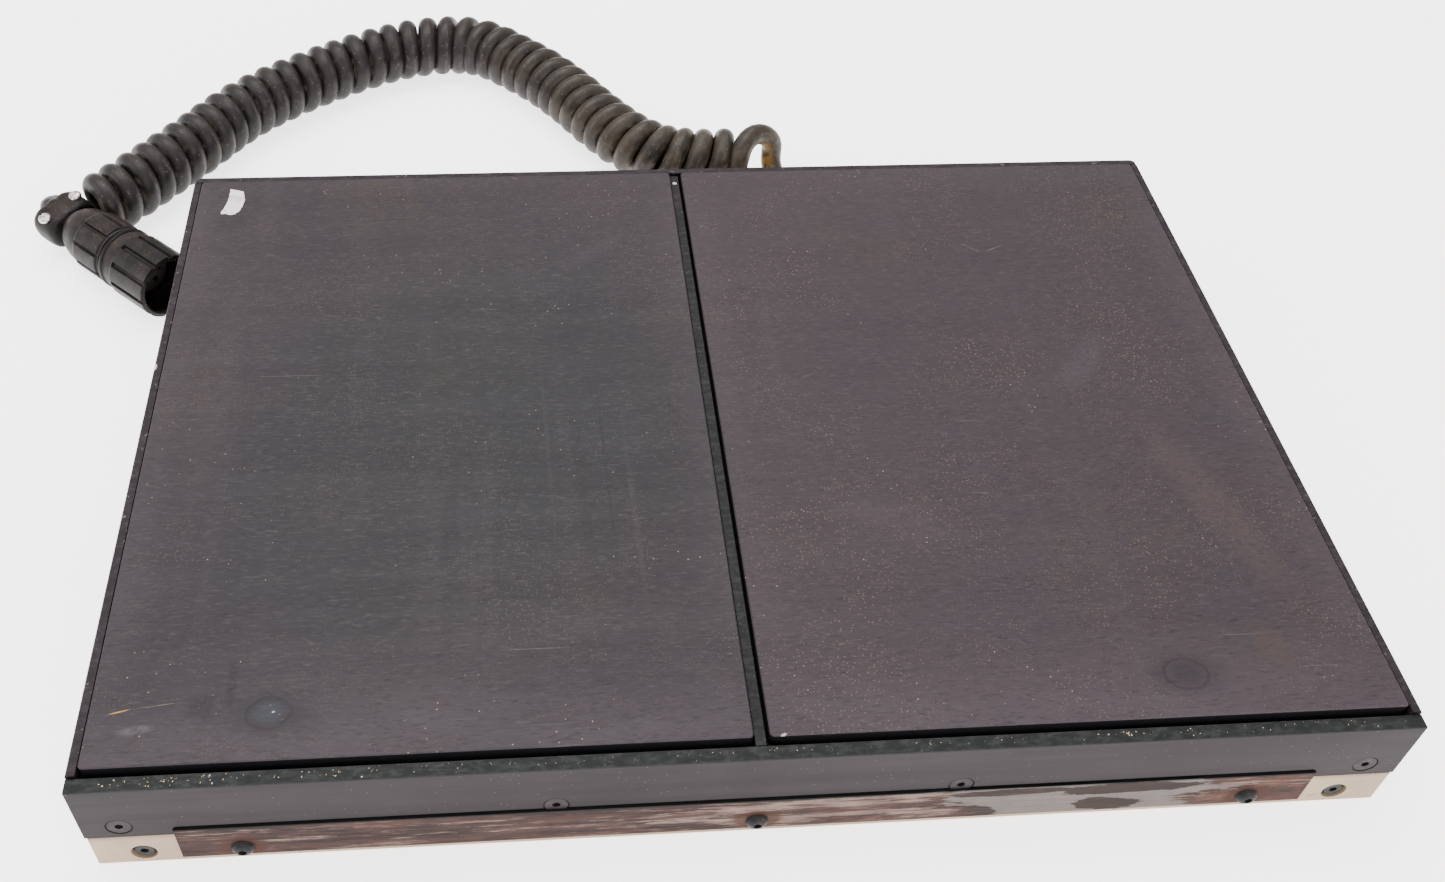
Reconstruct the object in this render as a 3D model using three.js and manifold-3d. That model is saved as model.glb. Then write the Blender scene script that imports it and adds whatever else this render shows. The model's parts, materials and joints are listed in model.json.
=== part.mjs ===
// Twin-plate press controller: two large press plates side by side in a low machined
// housing, with a curly cord that ends in a round multi-way plug.
// Millimetres. +X to the right, +Y to the back, +Z up. The origin is on the table, under the
// middle of the housing.

import * as THREE from "three";
import { mergeVertices } from "three/addons/utils/BufferGeometryUtils.js";
import Module from "manifold-3d";

const wasm = await Module();
wasm.setup();

// ---------------------------------------------------------------- driving dimensions

const WIDTH = 430;
const DEPTH = 305.6;
const RAIL_TOP = 46.6; // height of the side rails' top edge
const GAP = 0.3; // clearance between pieces that are assembled against each other

const BASE_HEIGHT = 17.3;
const BASE_INSET = 0.8; // how far the base frame stands in from the housing's sides
const BAR_DEPTH = 14; // front and rear bars, front to back
const SIDE_BAR_WIDTH = 20;
const BOTTOM_THICKNESS = 2;
const BOTTOM_RECESS = 1; // the bottom plate's height above the table

const FRONT_THICKNESS = 4.8;
const FRONT_DROP = 1.3; // how far the front plate's top edge lies below the rails
const BACK_THICKNESS = 3.2;
const BACK_INSET = 0.5;
const BACK_CORNER = 2.4;

const RAIL_LIP = 3; // the rail's thin edge beside the press plate
const RAIL_WIDTH = 20;
const EDGE_BREAK = 0.4; // small chamfer on the visible edges

const PLATE_THICKNESS = 6;
const PLATE_PROUD = 0.8; // how far the press plates stand above the rails
const PLATE_SIDE_GAP = 0.5;
const PLATE_FRONT_GAP = 2.2;
const PLATE_REAR_GAP = 0.5;
const PLATE_CORNER = 1.6;
const PLATE_TRAVEL = 3.4; // at the front edge, when pressed to the stop
const TRAVEL_MARGIN = 1.5; // what stays free under a pressed plate

const RIB_MIDDLE = -1.2; // the centre bar stands a little left of the middle
const RIB_FIN = 3.4;
const RIB_WIDTH = 16;
const RIB_LEFT_GAP = 0.5;
const RIB_RIGHT_GAP = 1.2;

const HINGE_FROM_BACK = 22.8;
const HINGE_HEIGHT = 30;
const HINGE_ROD = 3; // radius
const RUNNING_FIT = 0.1; // radial, in the bores of what turns
const LUG_WIDTH = 12;
const LUG_DEPTH = 14;
const LUG_FROM_SIDE = 5;

const SCREW = 2; // M4 shank radius
const FLAT_HEAD = 3.85;
const BUTTON_HEAD = 3.8;
const BUTTON_HEIGHT = 2.2;
const SOCKET_HEAD = 3.5;
const SOCKET_HEAD_HEIGHT = 4;
const HEX_KEY = 1.45; // socket's corner radius
const SCREW_LENGTH = 16;
const FRONT_SCREW_HEIGHT = 23.5;
const BACK_SCREW_HEIGHT = 28;
const SIDE_SCREW_INSET = 12;
const MIDDLE_SCREW_X = 66;
const BASE_SCREW_INSET = 16.4;
const BASE_SCREW_HEIGHT = 6.9;

const STRIP_INSET = 28.1; // from each side to the strip's end
const STRIP_BOTTOM = 3.4;
const STRIP_TOP = 20.8;
const STRIP_THICKNESS = 2.2;
const STRIP_PROUD = 0.6;
const STRIP_SCREW_X = 167;
const STRIP_SCREW_HEIGHT = 8.2;
const NOTCH_TOP = 22;
const NOTCH_CORNER = 2;

const BLOCK_LENGTH = 110;
const BLOCK_DEPTH = 30;
const BOLT_SPACING = 80;
const BOLT_FROM_FRONT = 25;
const BOLT = 3;
const BOLT_HEAD = 5.5;
const BOLT_HEAD_HEIGHT = 4;
const BOLT_CLEARANCE = 0.9;
const SPRING_POCKET = 7.4;
const SPRING_POCKET_DEPTH = 9;
const SPRING_RADIUS = 5.4;
const SPRING_WIRE = 0.65;
const SPRING_TURNS = 4;

const SWITCH_FROM_FRONT = 112;
const SWITCH_SIZE = [28, 18, 22];
const PLUNGER = 2;
const PLUNGER_IN_SWITCH = 5;

const CORD = 5.1; // radius of the round cable
const COIL = 15.5; // outer radius of the curly cord
const GLAND_X = 60;
const GLAND_HEIGHT = 27;
const GLAND_LENGTH = 12;
const GLAND_WALL = 1.5;
const NUT_RADIUS = 9.2;
const NUT_THICKNESS = 4;

// The plug lies on the table beside the left wall, and its own X axis runs from its mouth to
// the cable clamp.
const MOUTH_FROM_LEFT = -12.46;
const MOUTH_FROM_BACK = -36.53;
const PLUG_HEIGHT = 15.2;
const PLUG_TURN = THREE.MathUtils.degToRad(137.3);
const RING = 15;
const RING_SMOOTH = 13.7;
const RING_BORE = 12.4;
const RING_LENGTH = 31.1;
const RING_PADS = 10;
const PAD_LENGTH = 22.5;
const INSERT = 9.8;
const INSERT_RECESS = 14.5;
const PLUG_NECK = 10.7;
const SHELL_END = 63.5; // where the backshell's cone ends, from the mouth
const CLAMP_START = 71.5;
const CLAMP_END = 82;
const CLAMP_SCREW_SPACING = 20;

// ---------------------------------------------------------------- derived places

const FRONT_FACE = -DEPTH / 2;
const BACK_FACE = DEPTH / 2;
const SIDE = WIDTH / 2;
const SHELL_BOTTOM = BASE_HEIGHT + GAP;
const FRONT_INNER = FRONT_FACE + FRONT_THICKNESS;
const BACK_INNER = BACK_FACE - BACK_THICKNESS;
const FRONT_TOP = RAIL_TOP - FRONT_DROP;
const PLATE_TOP = RAIL_TOP + PLATE_PROUD;
const PLATE_BOTTOM = PLATE_TOP - PLATE_THICKNESS;
const FRAME_TOP = PLATE_BOTTOM - PLATE_TRAVEL - TRAVEL_MARGIN;
const HINGE_Y = BACK_FACE - HINGE_FROM_BACK;
const BASE_SIDE = SIDE - BASE_INSET;
const STRIP_END = SIDE - STRIP_INSET;
const STRIP_FACE = FRONT_FACE - STRIP_PROUD;
const BOTTOM_TOP = BOTTOM_RECESS + BOTTOM_THICKNESS;
const FIN_LEFT = RIB_MIDDLE - RIB_FIN / 2;
const FIN_RIGHT = RIB_MIDDLE + RIB_FIN / 2;
const BLOCK_TOP = FRAME_TOP;
const BOLT_Y = FRONT_FACE + BOLT_FROM_FRONT;
const CABLE_BORE = CORD + GAP;

// The plug's end of the cord is placed from the housing's back left corner, and the other end
// from where the gland comes out.
const fromCorner = (x, y, z) => [x - SIDE, BACK_FACE + y, z];
const fromGland = (x, y, z) => [GLAND_X + x, BACK_FACE + y, z];
const MOUTH = fromCorner(MOUTH_FROM_LEFT, MOUTH_FROM_BACK, PLUG_HEIGHT);

// ---------------------------------------------------------------- colours

const finish = (colour, roughness, metalness) => ({ colour, roughness, metalness });
const FINISH = {
  anodised: finish(0x4e464b, 0.5, 0.55),
  plate: finish(0x5b5157, 0.6, 0.4),
  nickel: finish(0xcfc3b0, 0.45, 0.6),
  strip: finish(0x6f4f47, 0.85, 0),
  blackSteel: finish(0x2b2b2e, 0.4, 0.8),
  steel: finish(0xb5b3ae, 0.3, 1),
  springSteel: finish(0x8d8f92, 0.35, 1),
  aluminium: finish(0xa9aaac, 0.45, 0.9),
  cord: finish(0x383431, 0.6, 0),
  plug: finish(0x28262a, 0.45, 0),
  switchCase: finish(0x2a2c33, 0.6, 0),
  nylon: finish(0xd9d4c6, 0.6, 0),
};

// ---------------------------------------------------------------- geometry helpers

function merged(geometry) {
  const bare = geometry.clone();
  bare.deleteAttribute("normal");
  bare.deleteAttribute("uv");
  return mergeVertices(bare, 1e-4);
}

function signedVolume(geometry) {
  const place = geometry.attributes.position;
  const corner = [new THREE.Vector3(), new THREE.Vector3(), new THREE.Vector3()];
  let volume = 0;
  for (let i = 0; i < geometry.index.count; i += 3) {
    corner.forEach((c, k) => c.fromBufferAttribute(place, geometry.index.getX(i + k)));
    volume += corner[0].dot(corner[1].cross(corner[2])) / 6;
  }
  return volume;
}

// The same closed surface with its faces pointing out.
function facingOut(geometry) {
  const whole = merged(geometry);
  if (signedVolume(whole) < 0) {
    const index = whole.index.array;
    for (let i = 0; i < index.length; i += 3) {
      [index[i + 1], index[i + 2]] = [index[i + 2], index[i + 1]];
    }
  }
  return whole;
}

function solidOf(geometry) {
  const whole = facingOut(geometry);
  return new wasm.Manifold(
    new wasm.Mesh({
      numProp: 3,
      vertProperties: new Float32Array(whole.attributes.position.array),
      triVerts: new Uint32Array(whole.index.array),
    }),
  );
}

function geometryOf(solid) {
  const mesh = solid.getMesh();
  const geometry = new THREE.BufferGeometry();
  geometry.setAttribute("position", new THREE.Float32BufferAttribute(mesh.vertProperties, 3));
  geometry.setIndex(Array.from(mesh.triVerts));
  return geometry;
}

const cut = (geometry, tools) =>
  geometryOf(tools.reduce((solid, tool) => solid.subtract(solidOf(tool)), solidOf(geometry)));

const join = (geometry, others) =>
  geometryOf(others.reduce((solid, other) => solid.add(solidOf(other)), solidOf(geometry)));

function box(x0, x1, y0, y1, z0, z1) {
  const geometry = new THREE.BoxGeometry(x1 - x0, y1 - y0, z1 - z0);
  return geometry.translate((x0 + x1) / 2, (y0 + y1) / 2, (z0 + z1) / 2);
}

const AXIS_TURN = {
  x: (geometry) => geometry.rotateZ(-Math.PI / 2),
  y: (geometry) => geometry,
  z: (geometry) => geometry.rotateX(Math.PI / 2),
};

// A round bar along an axis, from one coordinate to another, through the point at.
function rod(axis, radius, from, to, at, sides = 18) {
  const geometry = AXIS_TURN[axis](new THREE.CylinderGeometry(radius, radius, to - from, sides));
  const centre = { x: at[0], y: at[1], z: at[2], [axis]: (from + to) / 2 };
  return geometry.translate(centre.x, centre.y, centre.z);
}

const shapeOf = (points) => new THREE.Shape(points.map(([a, b]) => new THREE.Vector2(a, b)));
const plainExtrude = (shape, depth, curveSegments = 6) =>
  new THREE.ExtrudeGeometry(shape, { depth, bevelEnabled: false, curveSegments });

// A profile in the X-Z plane, drawn out along Y.
const prismAlongY = (shape, y0, y1) =>
  plainExtrude(shape, y1 - y0).rotateX(Math.PI / 2).translate(0, y1, 0);

const X_FROM_DEPTH = new THREE.Matrix4().makeBasis(
  new THREE.Vector3(0, 1, 0),
  new THREE.Vector3(0, 0, 1),
  new THREE.Vector3(1, 0, 0),
);

// A profile in the Y-Z plane, drawn out along X.
const prismAlongX = (shape, x0, x1, curveSegments) =>
  plainExtrude(shape, x1 - x0, curveSegments).applyMatrix4(X_FROM_DEPTH).translate(x0, 0, 0);

function roundedRectangle(x0, x1, y0, y1, radius) {
  const shape = new THREE.Shape();
  shape.moveTo(x0 + radius, y0);
  shape.absarc(x1 - radius, y0 + radius, radius, -Math.PI / 2, 0);
  shape.absarc(x1 - radius, y1 - radius, radius, 0, Math.PI / 2);
  shape.absarc(x0 + radius, y1 - radius, radius, Math.PI / 2, Math.PI);
  shape.absarc(x0 + radius, y0 + radius, radius, Math.PI, Math.PI * 1.5);
  return shape;
}

// A flat slab with rounded corners and a small chamfer round its top and bottom edges.
function slab(x0, x1, y0, y1, z0, z1, corner, edge) {
  const shape = roundedRectangle(x0, x1, y0, y1, corner);
  const geometry = new THREE.ExtrudeGeometry(shape, {
    depth: z1 - z0 - 2 * edge,
    bevelEnabled: true,
    bevelThickness: edge,
    bevelSize: edge,
    bevelOffset: -edge,
    bevelSegments: 1,
    curveSegments: 5,
  });
  return geometry.translate(0, 0, z0 + edge);
}

// A body turned about Y: profile points are [radius, height].
const turned = (profile, sides = 18) =>
  new THREE.LatheGeometry(profile.map(([r, y]) => new THREE.Vector2(r, y)), sides);

// The same, turned about X.
const turnedAlongX = (profile, sides = 30) => turned(profile, sides).rotateZ(-Math.PI / 2);

function tube(curve, radius, steps, sides = 10) {
  const section = new THREE.Shape();
  for (let i = 0; i < sides; i += 1) {
    const angle = (2 * Math.PI * i) / sides;
    const place = [radius * Math.cos(angle), radius * Math.sin(angle)];
    if (i === 0) section.moveTo(...place);
    else section.lineTo(...place);
  }
  return new THREE.ExtrudeGeometry(section, { steps, extrudePath: curve });
}

const smooth = (points) =>
  new THREE.CatmullRomCurve3(points.map((p) => new THREE.Vector3(...p)), false, "centripetal");

// ---------------------------------------------------------------- the assembly

const assembly = new THREE.Group();

function add(name, geometry, look, parent = assembly) {
  const { colour, roughness, metalness } = FINISH[look];
  const material = new THREE.MeshStandardMaterial({ color: colour, roughness, metalness });
  const mesh = new THREE.Mesh(facingOut(geometry), material);
  mesh.name = name;
  parent.add(mesh);
  return mesh;
}

// ---------------------------------------------------------------- screws
// A screw is made with its head's top at y = 0 and its shank along +Y.

const hexSocket = (depth, at = 0) => rod("y", HEX_KEY, at - 1, at + depth, [0, 0, 0], 6);

function flatHeadScrew(length = SCREW_LENGTH) {
  const rim = 0.4;
  const cone = FLAT_HEAD - SCREW;
  const profile = [[0, 0], [FLAT_HEAD, 0], [FLAT_HEAD, rim], [SCREW, rim + cone], [SCREW, length], [0, length]];
  return cut(turned(profile), [hexSocket(1.8)]);
}

// What a flat head screw needs cut out of the pieces that it joins.
function flatHeadHole(length = SCREW_LENGTH) {
  const head = FLAT_HEAD + GAP;
  const shank = SCREW + GAP;
  const rim = 0.4;
  const profile = [[0, -2], [head, -2], [head, rim], [shank, rim + head - shank], [shank, length], [0, length]];
  return turned(profile);
}

function buttonHeadScrew(length = 10) {
  const crown = [[0, 0], [1.6, 0.05], [2.6, 0.45], [3.4, 1.2], [BUTTON_HEAD, BUTTON_HEIGHT]];
  const end = BUTTON_HEIGHT + length;
  const profile = [...crown, [SCREW, BUTTON_HEIGHT], [SCREW, end], [0, end]];
  return cut(turned(profile), [hexSocket(1.5)]);
}

function socketHeadScrew(length = 22) {
  const edge = 0.4;
  const end = SOCKET_HEAD_HEIGHT + length;
  const profile = [
    [0, 0],
    [SOCKET_HEAD - edge, 0],
    [SOCKET_HEAD, edge],
    [SOCKET_HEAD, SOCKET_HEAD_HEIGHT],
    [SCREW, SOCKET_HEAD_HEIGHT],
    [SCREW, end],
    [0, end],
  ];
  return cut(turned(profile), [hexSocket(2.2)]);
}

const HEAD_BELOW_FACE = 0.15;
const FRONT_SCREW_X = [-SIDE + SIDE_SCREW_INSET, -MIDDLE_SCREW_X, MIDDLE_SCREW_X, SIDE - SIDE_SCREW_INSET];
const BACK_SCREW_X = [-SIDE + SIDE_SCREW_INSET, RIB_MIDDLE, SIDE - SIDE_SCREW_INSET];
const BASE_SCREW_X = [-SIDE + BASE_SCREW_INSET, SIDE - BASE_SCREW_INSET];
const STRIP_SCREWS_X = [-STRIP_SCREW_X, 0, STRIP_SCREW_X];

const frontHoles = () =>
  FRONT_SCREW_X.map((x) => flatHeadHole().translate(x, FRONT_FACE, FRONT_SCREW_HEIGHT));
const backHoles = () =>
  BACK_SCREW_X.map((x) => flatHeadHole().rotateZ(Math.PI).translate(x, BACK_FACE, BACK_SCREW_HEIGHT));

FRONT_SCREW_X.forEach((x, i) => {
  const screw = flatHeadScrew(SCREW_LENGTH - 1).translate(x, FRONT_FACE + HEAD_BELOW_FACE, FRONT_SCREW_HEIGHT);
  add(`front_screw_${i + 1}`, screw, "blackSteel");
});
BACK_SCREW_X.forEach((x, i) => {
  const screw = flatHeadScrew(SCREW_LENGTH - 1).rotateZ(Math.PI);
  add(`back_screw_${i + 1}`, screw.translate(x, BACK_FACE - HEAD_BELOW_FACE, BACK_SCREW_HEIGHT), "blackSteel");
});

// ---------------------------------------------------------------- base frame

const BASE_HEAD_DEPTH = SOCKET_HEAD_HEIGHT + 0.8;

function baseScrewHole(x) {
  const shank = rod("y", SCREW + GAP, FRONT_FACE, FRONT_FACE + 32, [x, 0, BASE_SCREW_HEIGHT]);
  const pocket = rod(
    "y",
    SOCKET_HEAD + 0.75,
    FRONT_FACE - 1,
    FRONT_FACE + BASE_HEAD_DEPTH,
    [x, 0, BASE_SCREW_HEIGHT],
  );
  return [shank, pocket];
}

function frontBar() {
  const inner = FRONT_FACE + BAR_DEPTH;
  const profile = shapeOf([
    [FRONT_FACE + 0.8, 0],
    [inner, 0],
    [inner, BASE_HEIGHT],
    [FRONT_FACE, BASE_HEIGHT],
    [FRONT_FACE, 0.8],
  ]);
  const seat = STRIP_END + GAP;
  const seatBack = STRIP_FACE + STRIP_THICKNESS + GAP;
  return cut(prismAlongX(profile, -BASE_SIDE, BASE_SIDE), [
    box(-seat, seat, FRONT_FACE - 1, seatBack, STRIP_BOTTOM - GAP, BASE_HEIGHT + 1),
    ...BASE_SCREW_X.flatMap(baseScrewHole),
    ...STRIP_SCREWS_X.map((x) =>
      rod("y", SCREW + GAP, FRONT_FACE, FRONT_FACE + 12, [x, 0, STRIP_SCREW_HEIGHT], 14),
    ),
  ]);
}

function rearBar() {
  const bar = box(-BASE_SIDE, BASE_SIDE, BACK_FACE - BAR_DEPTH, BACK_FACE, 0, BASE_HEIGHT);
  const nutPocket = rod(
    "y",
    NUT_RADIUS + 2 * GAP,
    BACK_FACE - BAR_DEPTH - 1,
    BACK_INNER + GAP,
    [GLAND_X, 0, GLAND_HEIGHT],
  );
  return cut(bar, [nutPocket]);
}

function sideBar(side) {
  const end = BAR_DEPTH + GAP;
  const near = side * (BASE_SIDE - SIDE_BAR_WIDTH);
  const far = side * BASE_SIDE;
  const bar = box(Math.min(near, far), Math.max(near, far), FRONT_FACE + end, BACK_FACE - end, 0, BASE_HEIGHT);
  return cut(bar, baseScrewHole(side * (SIDE - BASE_SCREW_INSET)));
}

add("base_front_bar", frontBar(), "nickel");
add("base_rear_bar", rearBar(), "nickel");
add("base_left_bar", sideBar(-1), "nickel");
add("base_right_bar", sideBar(1), "nickel");

const BOTTOM_SIDE = BASE_SIDE - SIDE_BAR_WIDTH - GAP;
const BOTTOM_END = DEPTH / 2 - BAR_DEPTH - GAP;
add(
  "bottom_plate",
  box(-BOTTOM_SIDE, BOTTOM_SIDE, -BOTTOM_END, BOTTOM_END, BOTTOM_RECESS, BOTTOM_TOP),
  "aluminium",
);

BASE_SCREW_X.forEach((x, i) => {
  const headTop = FRONT_FACE + BASE_HEAD_DEPTH - SOCKET_HEAD_HEIGHT - GAP;
  add(`base_screw_${i + 1}`, socketHeadScrew().translate(x, headTop, BASE_SCREW_HEIGHT), "blackSteel");
});

// ---------------------------------------------------------------- worn front strip

function frontStrip() {
  const strip = box(-STRIP_END, STRIP_END, STRIP_FACE, STRIP_FACE + STRIP_THICKNESS, STRIP_BOTTOM, STRIP_TOP);
  const holes = STRIP_SCREWS_X.map((x) =>
    rod("y", SCREW + GAP, STRIP_FACE - 1, STRIP_FACE + 5, [x, 0, STRIP_SCREW_HEIGHT], 20),
  );
  // The strip's back is relieved where it laps over the heads of the middle front screws.
  const relief = FRONT_SCREW_X.map((x) =>
    rod("y", FLAT_HEAD + GAP, FRONT_FACE + HEAD_BELOW_FACE - GAP, FRONT_FACE + 5, [x, 0, FRONT_SCREW_HEIGHT]),
  );
  return cut(strip, [...holes, ...relief]);
}

add("front_strip", frontStrip(), "strip");
STRIP_SCREWS_X.forEach((x, i) => {
  const headTop = STRIP_FACE - BUTTON_HEIGHT - GAP / 2;
  add(`strip_screw_${i + 1}`, buttonHeadScrew().translate(x, headTop, STRIP_SCREW_HEIGHT), "blackSteel");
});

// ---------------------------------------------------------------- housing

function frontPlate() {
  const plate = box(-SIDE, SIDE, FRONT_FACE, FRONT_INNER, SHELL_BOTTOM, FRONT_TOP);
  const half = STRIP_END + GAP;
  const below = SHELL_BOTTOM - 1;
  const notch = new THREE.Shape();
  notch.moveTo(-half, below);
  notch.lineTo(half, below);
  notch.absarc(half - NOTCH_CORNER, NOTCH_TOP - NOTCH_CORNER, NOTCH_CORNER, 0, Math.PI / 2);
  notch.absarc(-half + NOTCH_CORNER, NOTCH_TOP - NOTCH_CORNER, NOTCH_CORNER, Math.PI / 2, Math.PI);
  const cutter = prismAlongY(notch, FRONT_FACE - 1, FRONT_INNER + 1);
  return cut(plate, [cutter, ...frontHoles()]);
}

function backPlate() {
  const half = SIDE - BACK_INSET;
  const plan = new THREE.Shape();
  plan.moveTo(-half, BACK_INNER);
  plan.lineTo(half, BACK_INNER);
  plan.absarc(half - BACK_CORNER, BACK_FACE - BACK_CORNER, BACK_CORNER, 0, Math.PI / 2);
  plan.absarc(-half + BACK_CORNER, BACK_FACE - BACK_CORNER, BACK_CORNER, Math.PI / 2, Math.PI);
  const plate = plainExtrude(plan, RAIL_TOP - SHELL_BOTTOM).translate(0, 0, SHELL_BOTTOM);
  const glandHole = rod(
    "y",
    CABLE_BORE + GLAND_WALL + GAP,
    BACK_INNER - 1,
    BACK_FACE + 1,
    [GLAND_X, 0, GLAND_HEIGHT],
  );
  return cut(plate, [glandHole, ...backHoles()]);
}

const RAIL_FRONT = FRONT_INNER + GAP;
const RAIL_BACK = BACK_INNER - GAP;
const hingeBore = (x0, x1) => rod("x", HINGE_ROD + RUNNING_FIT, x0, x1, [0, HINGE_Y, HINGE_HEIGHT]);

function sideRail(side) {
  const profile = shapeOf(
    [
      [SIDE, SHELL_BOTTOM],
      [SIDE, RAIL_TOP - EDGE_BREAK],
      [SIDE - EDGE_BREAK, RAIL_TOP],
      [SIDE - RAIL_LIP, RAIL_TOP],
      [SIDE - RAIL_LIP, FRAME_TOP],
      [SIDE - RAIL_WIDTH, FRAME_TOP],
      [SIDE - RAIL_WIDTH, SHELL_BOTTOM],
    ].map(([x, z]) => [side * x, z]),
  );
  const ends = [side * (SIDE - RAIL_WIDTH - 1), side * (SIDE - RAIL_LIP - 3)];
  return cut(prismAlongY(profile, RAIL_FRONT, RAIL_BACK), [
    hingeBore(Math.min(...ends), Math.max(...ends)),
    ...frontHoles(),
    ...backHoles(),
  ]);
}

function centreRib() {
  const half = RIB_WIDTH / 2;
  const profile = shapeOf([
    [RIB_MIDDLE - half, SHELL_BOTTOM],
    [RIB_MIDDLE + half, SHELL_BOTTOM],
    [RIB_MIDDLE + half, FRAME_TOP],
    [FIN_RIGHT, FRAME_TOP],
    [FIN_RIGHT, FRONT_TOP],
    [FIN_LEFT, FRONT_TOP],
    [FIN_LEFT, FRAME_TOP],
    [RIB_MIDDLE - half, FRAME_TOP],
  ]);
  const topScrewHole = rod("z", 1.3, FRONT_TOP - 7, FRONT_TOP + 1, [RIB_MIDDLE, RAIL_BACK - 5, 0], 16);
  return cut(prismAlongY(profile, RAIL_FRONT, RAIL_BACK), [
    hingeBore(RIB_MIDDLE - half - 1, RIB_MIDDLE + half + 1),
    topScrewHole,
    ...backHoles(),
  ]);
}

add("front_plate", frontPlate(), "anodised");
add("back_plate", backPlate(), "anodised");
add("left_rail", sideRail(-1), "anodised");
add("right_rail", sideRail(1), "anodised");
add("centre_rib", centreRib(), "anodised");
add(
  "rib_screw",
  rod("z", 1, FRONT_TOP - 6.5, FRONT_TOP - GAP, [RIB_MIDDLE, RAIL_BACK - 5, 0], 16),
  "steel",
);

// ---------------------------------------------------------------- press plates and hinges

const PLATES = [
  {
    name: "left",
    side: -1,
    from: -SIDE + RAIL_LIP + PLATE_SIDE_GAP,
    to: FIN_LEFT - RIB_LEFT_GAP,
    ribFace: RIB_MIDDLE - RIB_WIDTH / 2,
  },
  {
    name: "right",
    side: 1,
    from: FIN_RIGHT + RIB_RIGHT_GAP,
    to: SIDE - RAIL_LIP - PLATE_SIDE_GAP,
    ribFace: RIB_MIDDLE + RIB_WIDTH / 2,
  },
];
const PLATE_FRONT = FRONT_INNER + PLATE_FRONT_GAP;
const PLATE_REAR = BACK_INNER - PLATE_REAR_GAP;

function lug(x0, x1) {
  const round = LUG_DEPTH / 2;
  const profile = new THREE.Shape();
  profile.moveTo(HINGE_Y + round, PLATE_BOTTOM - GAP);
  profile.lineTo(HINGE_Y - round, PLATE_BOTTOM - GAP);
  profile.absarc(HINGE_Y, HINGE_HEIGHT, round, Math.PI, 2 * Math.PI);
  return cut(prismAlongX(profile, x0, x1, 12), [hingeBore(x0 - 1, x1 + 1)]);
}

PLATES.forEach(({ name, side, from, to, ribFace }) => {
  const plate = slab(from, to, PLATE_FRONT, PLATE_REAR, PLATE_BOTTOM, PLATE_TOP, PLATE_CORNER, EDGE_BREAK);
  add(`${name}_press_plate`, plate, "plate");

  const railFace = side * (SIDE - RAIL_WIDTH);
  const outer = railFace - side * LUG_FROM_SIDE;
  const inner = ribFace + side * LUG_FROM_SIDE;
  const spans = { outer: [outer - side * LUG_WIDTH, outer], inner: [inner, inner + side * LUG_WIDTH] };
  Object.entries(spans).forEach(([where, ends]) => {
    add(`${name}_${where}_hinge_lug`, lug(Math.min(...ends), Math.max(...ends)), "aluminium");
  });

  // The rod ends short of the bottom of its bore in the rail, and short of the other rod.
  const rodEnds = [RIB_MIDDLE + side * 0.6, side * (SIDE - RAIL_LIP - 3.5)];
  const hingeRod = rod("x", HINGE_ROD, Math.min(...rodEnds), Math.max(...rodEnds), [0, HINGE_Y, HINGE_HEIGHT]);
  add(`${name}_hinge_rod`, hingeRod, "steel");
});

// ---------------------------------------------------------------- springs and stop bolts

class Helix extends THREE.Curve {
  constructor(centre, radius, low, high, turns) {
    super();
    Object.assign(this, { centre, radius, low, high, turns });
  }

  getPoint(t) {
    const angle = 2 * Math.PI * this.turns * t;
    return new THREE.Vector3(
      this.centre[0] + this.radius * Math.cos(angle),
      this.centre[1] + this.radius * Math.sin(angle),
      this.low + (this.high - this.low) * t,
    );
  }
}

const SPRING_SEAT = BLOCK_TOP - SPRING_POCKET_DEPTH;
const BLOCK_UNDER = SHELL_BOTTOM;

function springBlock(middle, boltX) {
  const block = box(
    middle - BLOCK_LENGTH / 2,
    middle + BLOCK_LENGTH / 2,
    RAIL_FRONT,
    RAIL_FRONT + BLOCK_DEPTH,
    BLOCK_UNDER,
    BLOCK_TOP,
  );
  const bolts = boltX.flatMap((x) => [
    rod("z", BOLT + BOLT_CLEARANCE, BLOCK_UNDER - 1, BLOCK_TOP + 1, [x, BOLT_Y, 0]),
    rod("z", SPRING_POCKET, SPRING_SEAT, BLOCK_TOP + 1, [x, BOLT_Y, 0]),
  ]);
  return cut(block, [...bolts, ...frontHoles()]);
}

function stopBolt(x) {
  const headTop = BLOCK_UNDER - GAP;
  const profile = [
    [0, headTop - BOLT_HEAD_HEIGHT],
    [BOLT_HEAD, headTop - BOLT_HEAD_HEIGHT],
    [BOLT_HEAD, headTop],
    [BOLT, headTop],
    [BOLT, PLATE_BOTTOM - GAP],
    [0, PLATE_BOTTOM - GAP],
  ];
  return turned(profile, 16).rotateX(Math.PI / 2).translate(x, BOLT_Y, 0);
}

function returnSpring(x) {
  const inset = SPRING_WIRE + GAP;
  const path = new Helix([x, BOLT_Y], SPRING_RADIUS, SPRING_SEAT + inset, PLATE_BOTTOM - inset, SPRING_TURNS);
  return tube(path, SPRING_WIRE, SPRING_TURNS * 10, 5);
}

PLATES.forEach(({ name, side }) => {
  const middle = side * MIDDLE_SCREW_X;
  const boltX = [middle - BOLT_SPACING / 2, middle + BOLT_SPACING / 2];
  add(`${name}_spring_block`, springBlock(middle, boltX), "aluminium");
  boltX.forEach((x, i) => {
    add(`${name}_stop_bolt_${i + 1}`, stopBolt(x), "steel");
    add(`${name}_return_spring_${i + 1}`, returnSpring(x), "springSteel");
  });
});

// ---------------------------------------------------------------- switches and wiring

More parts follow.
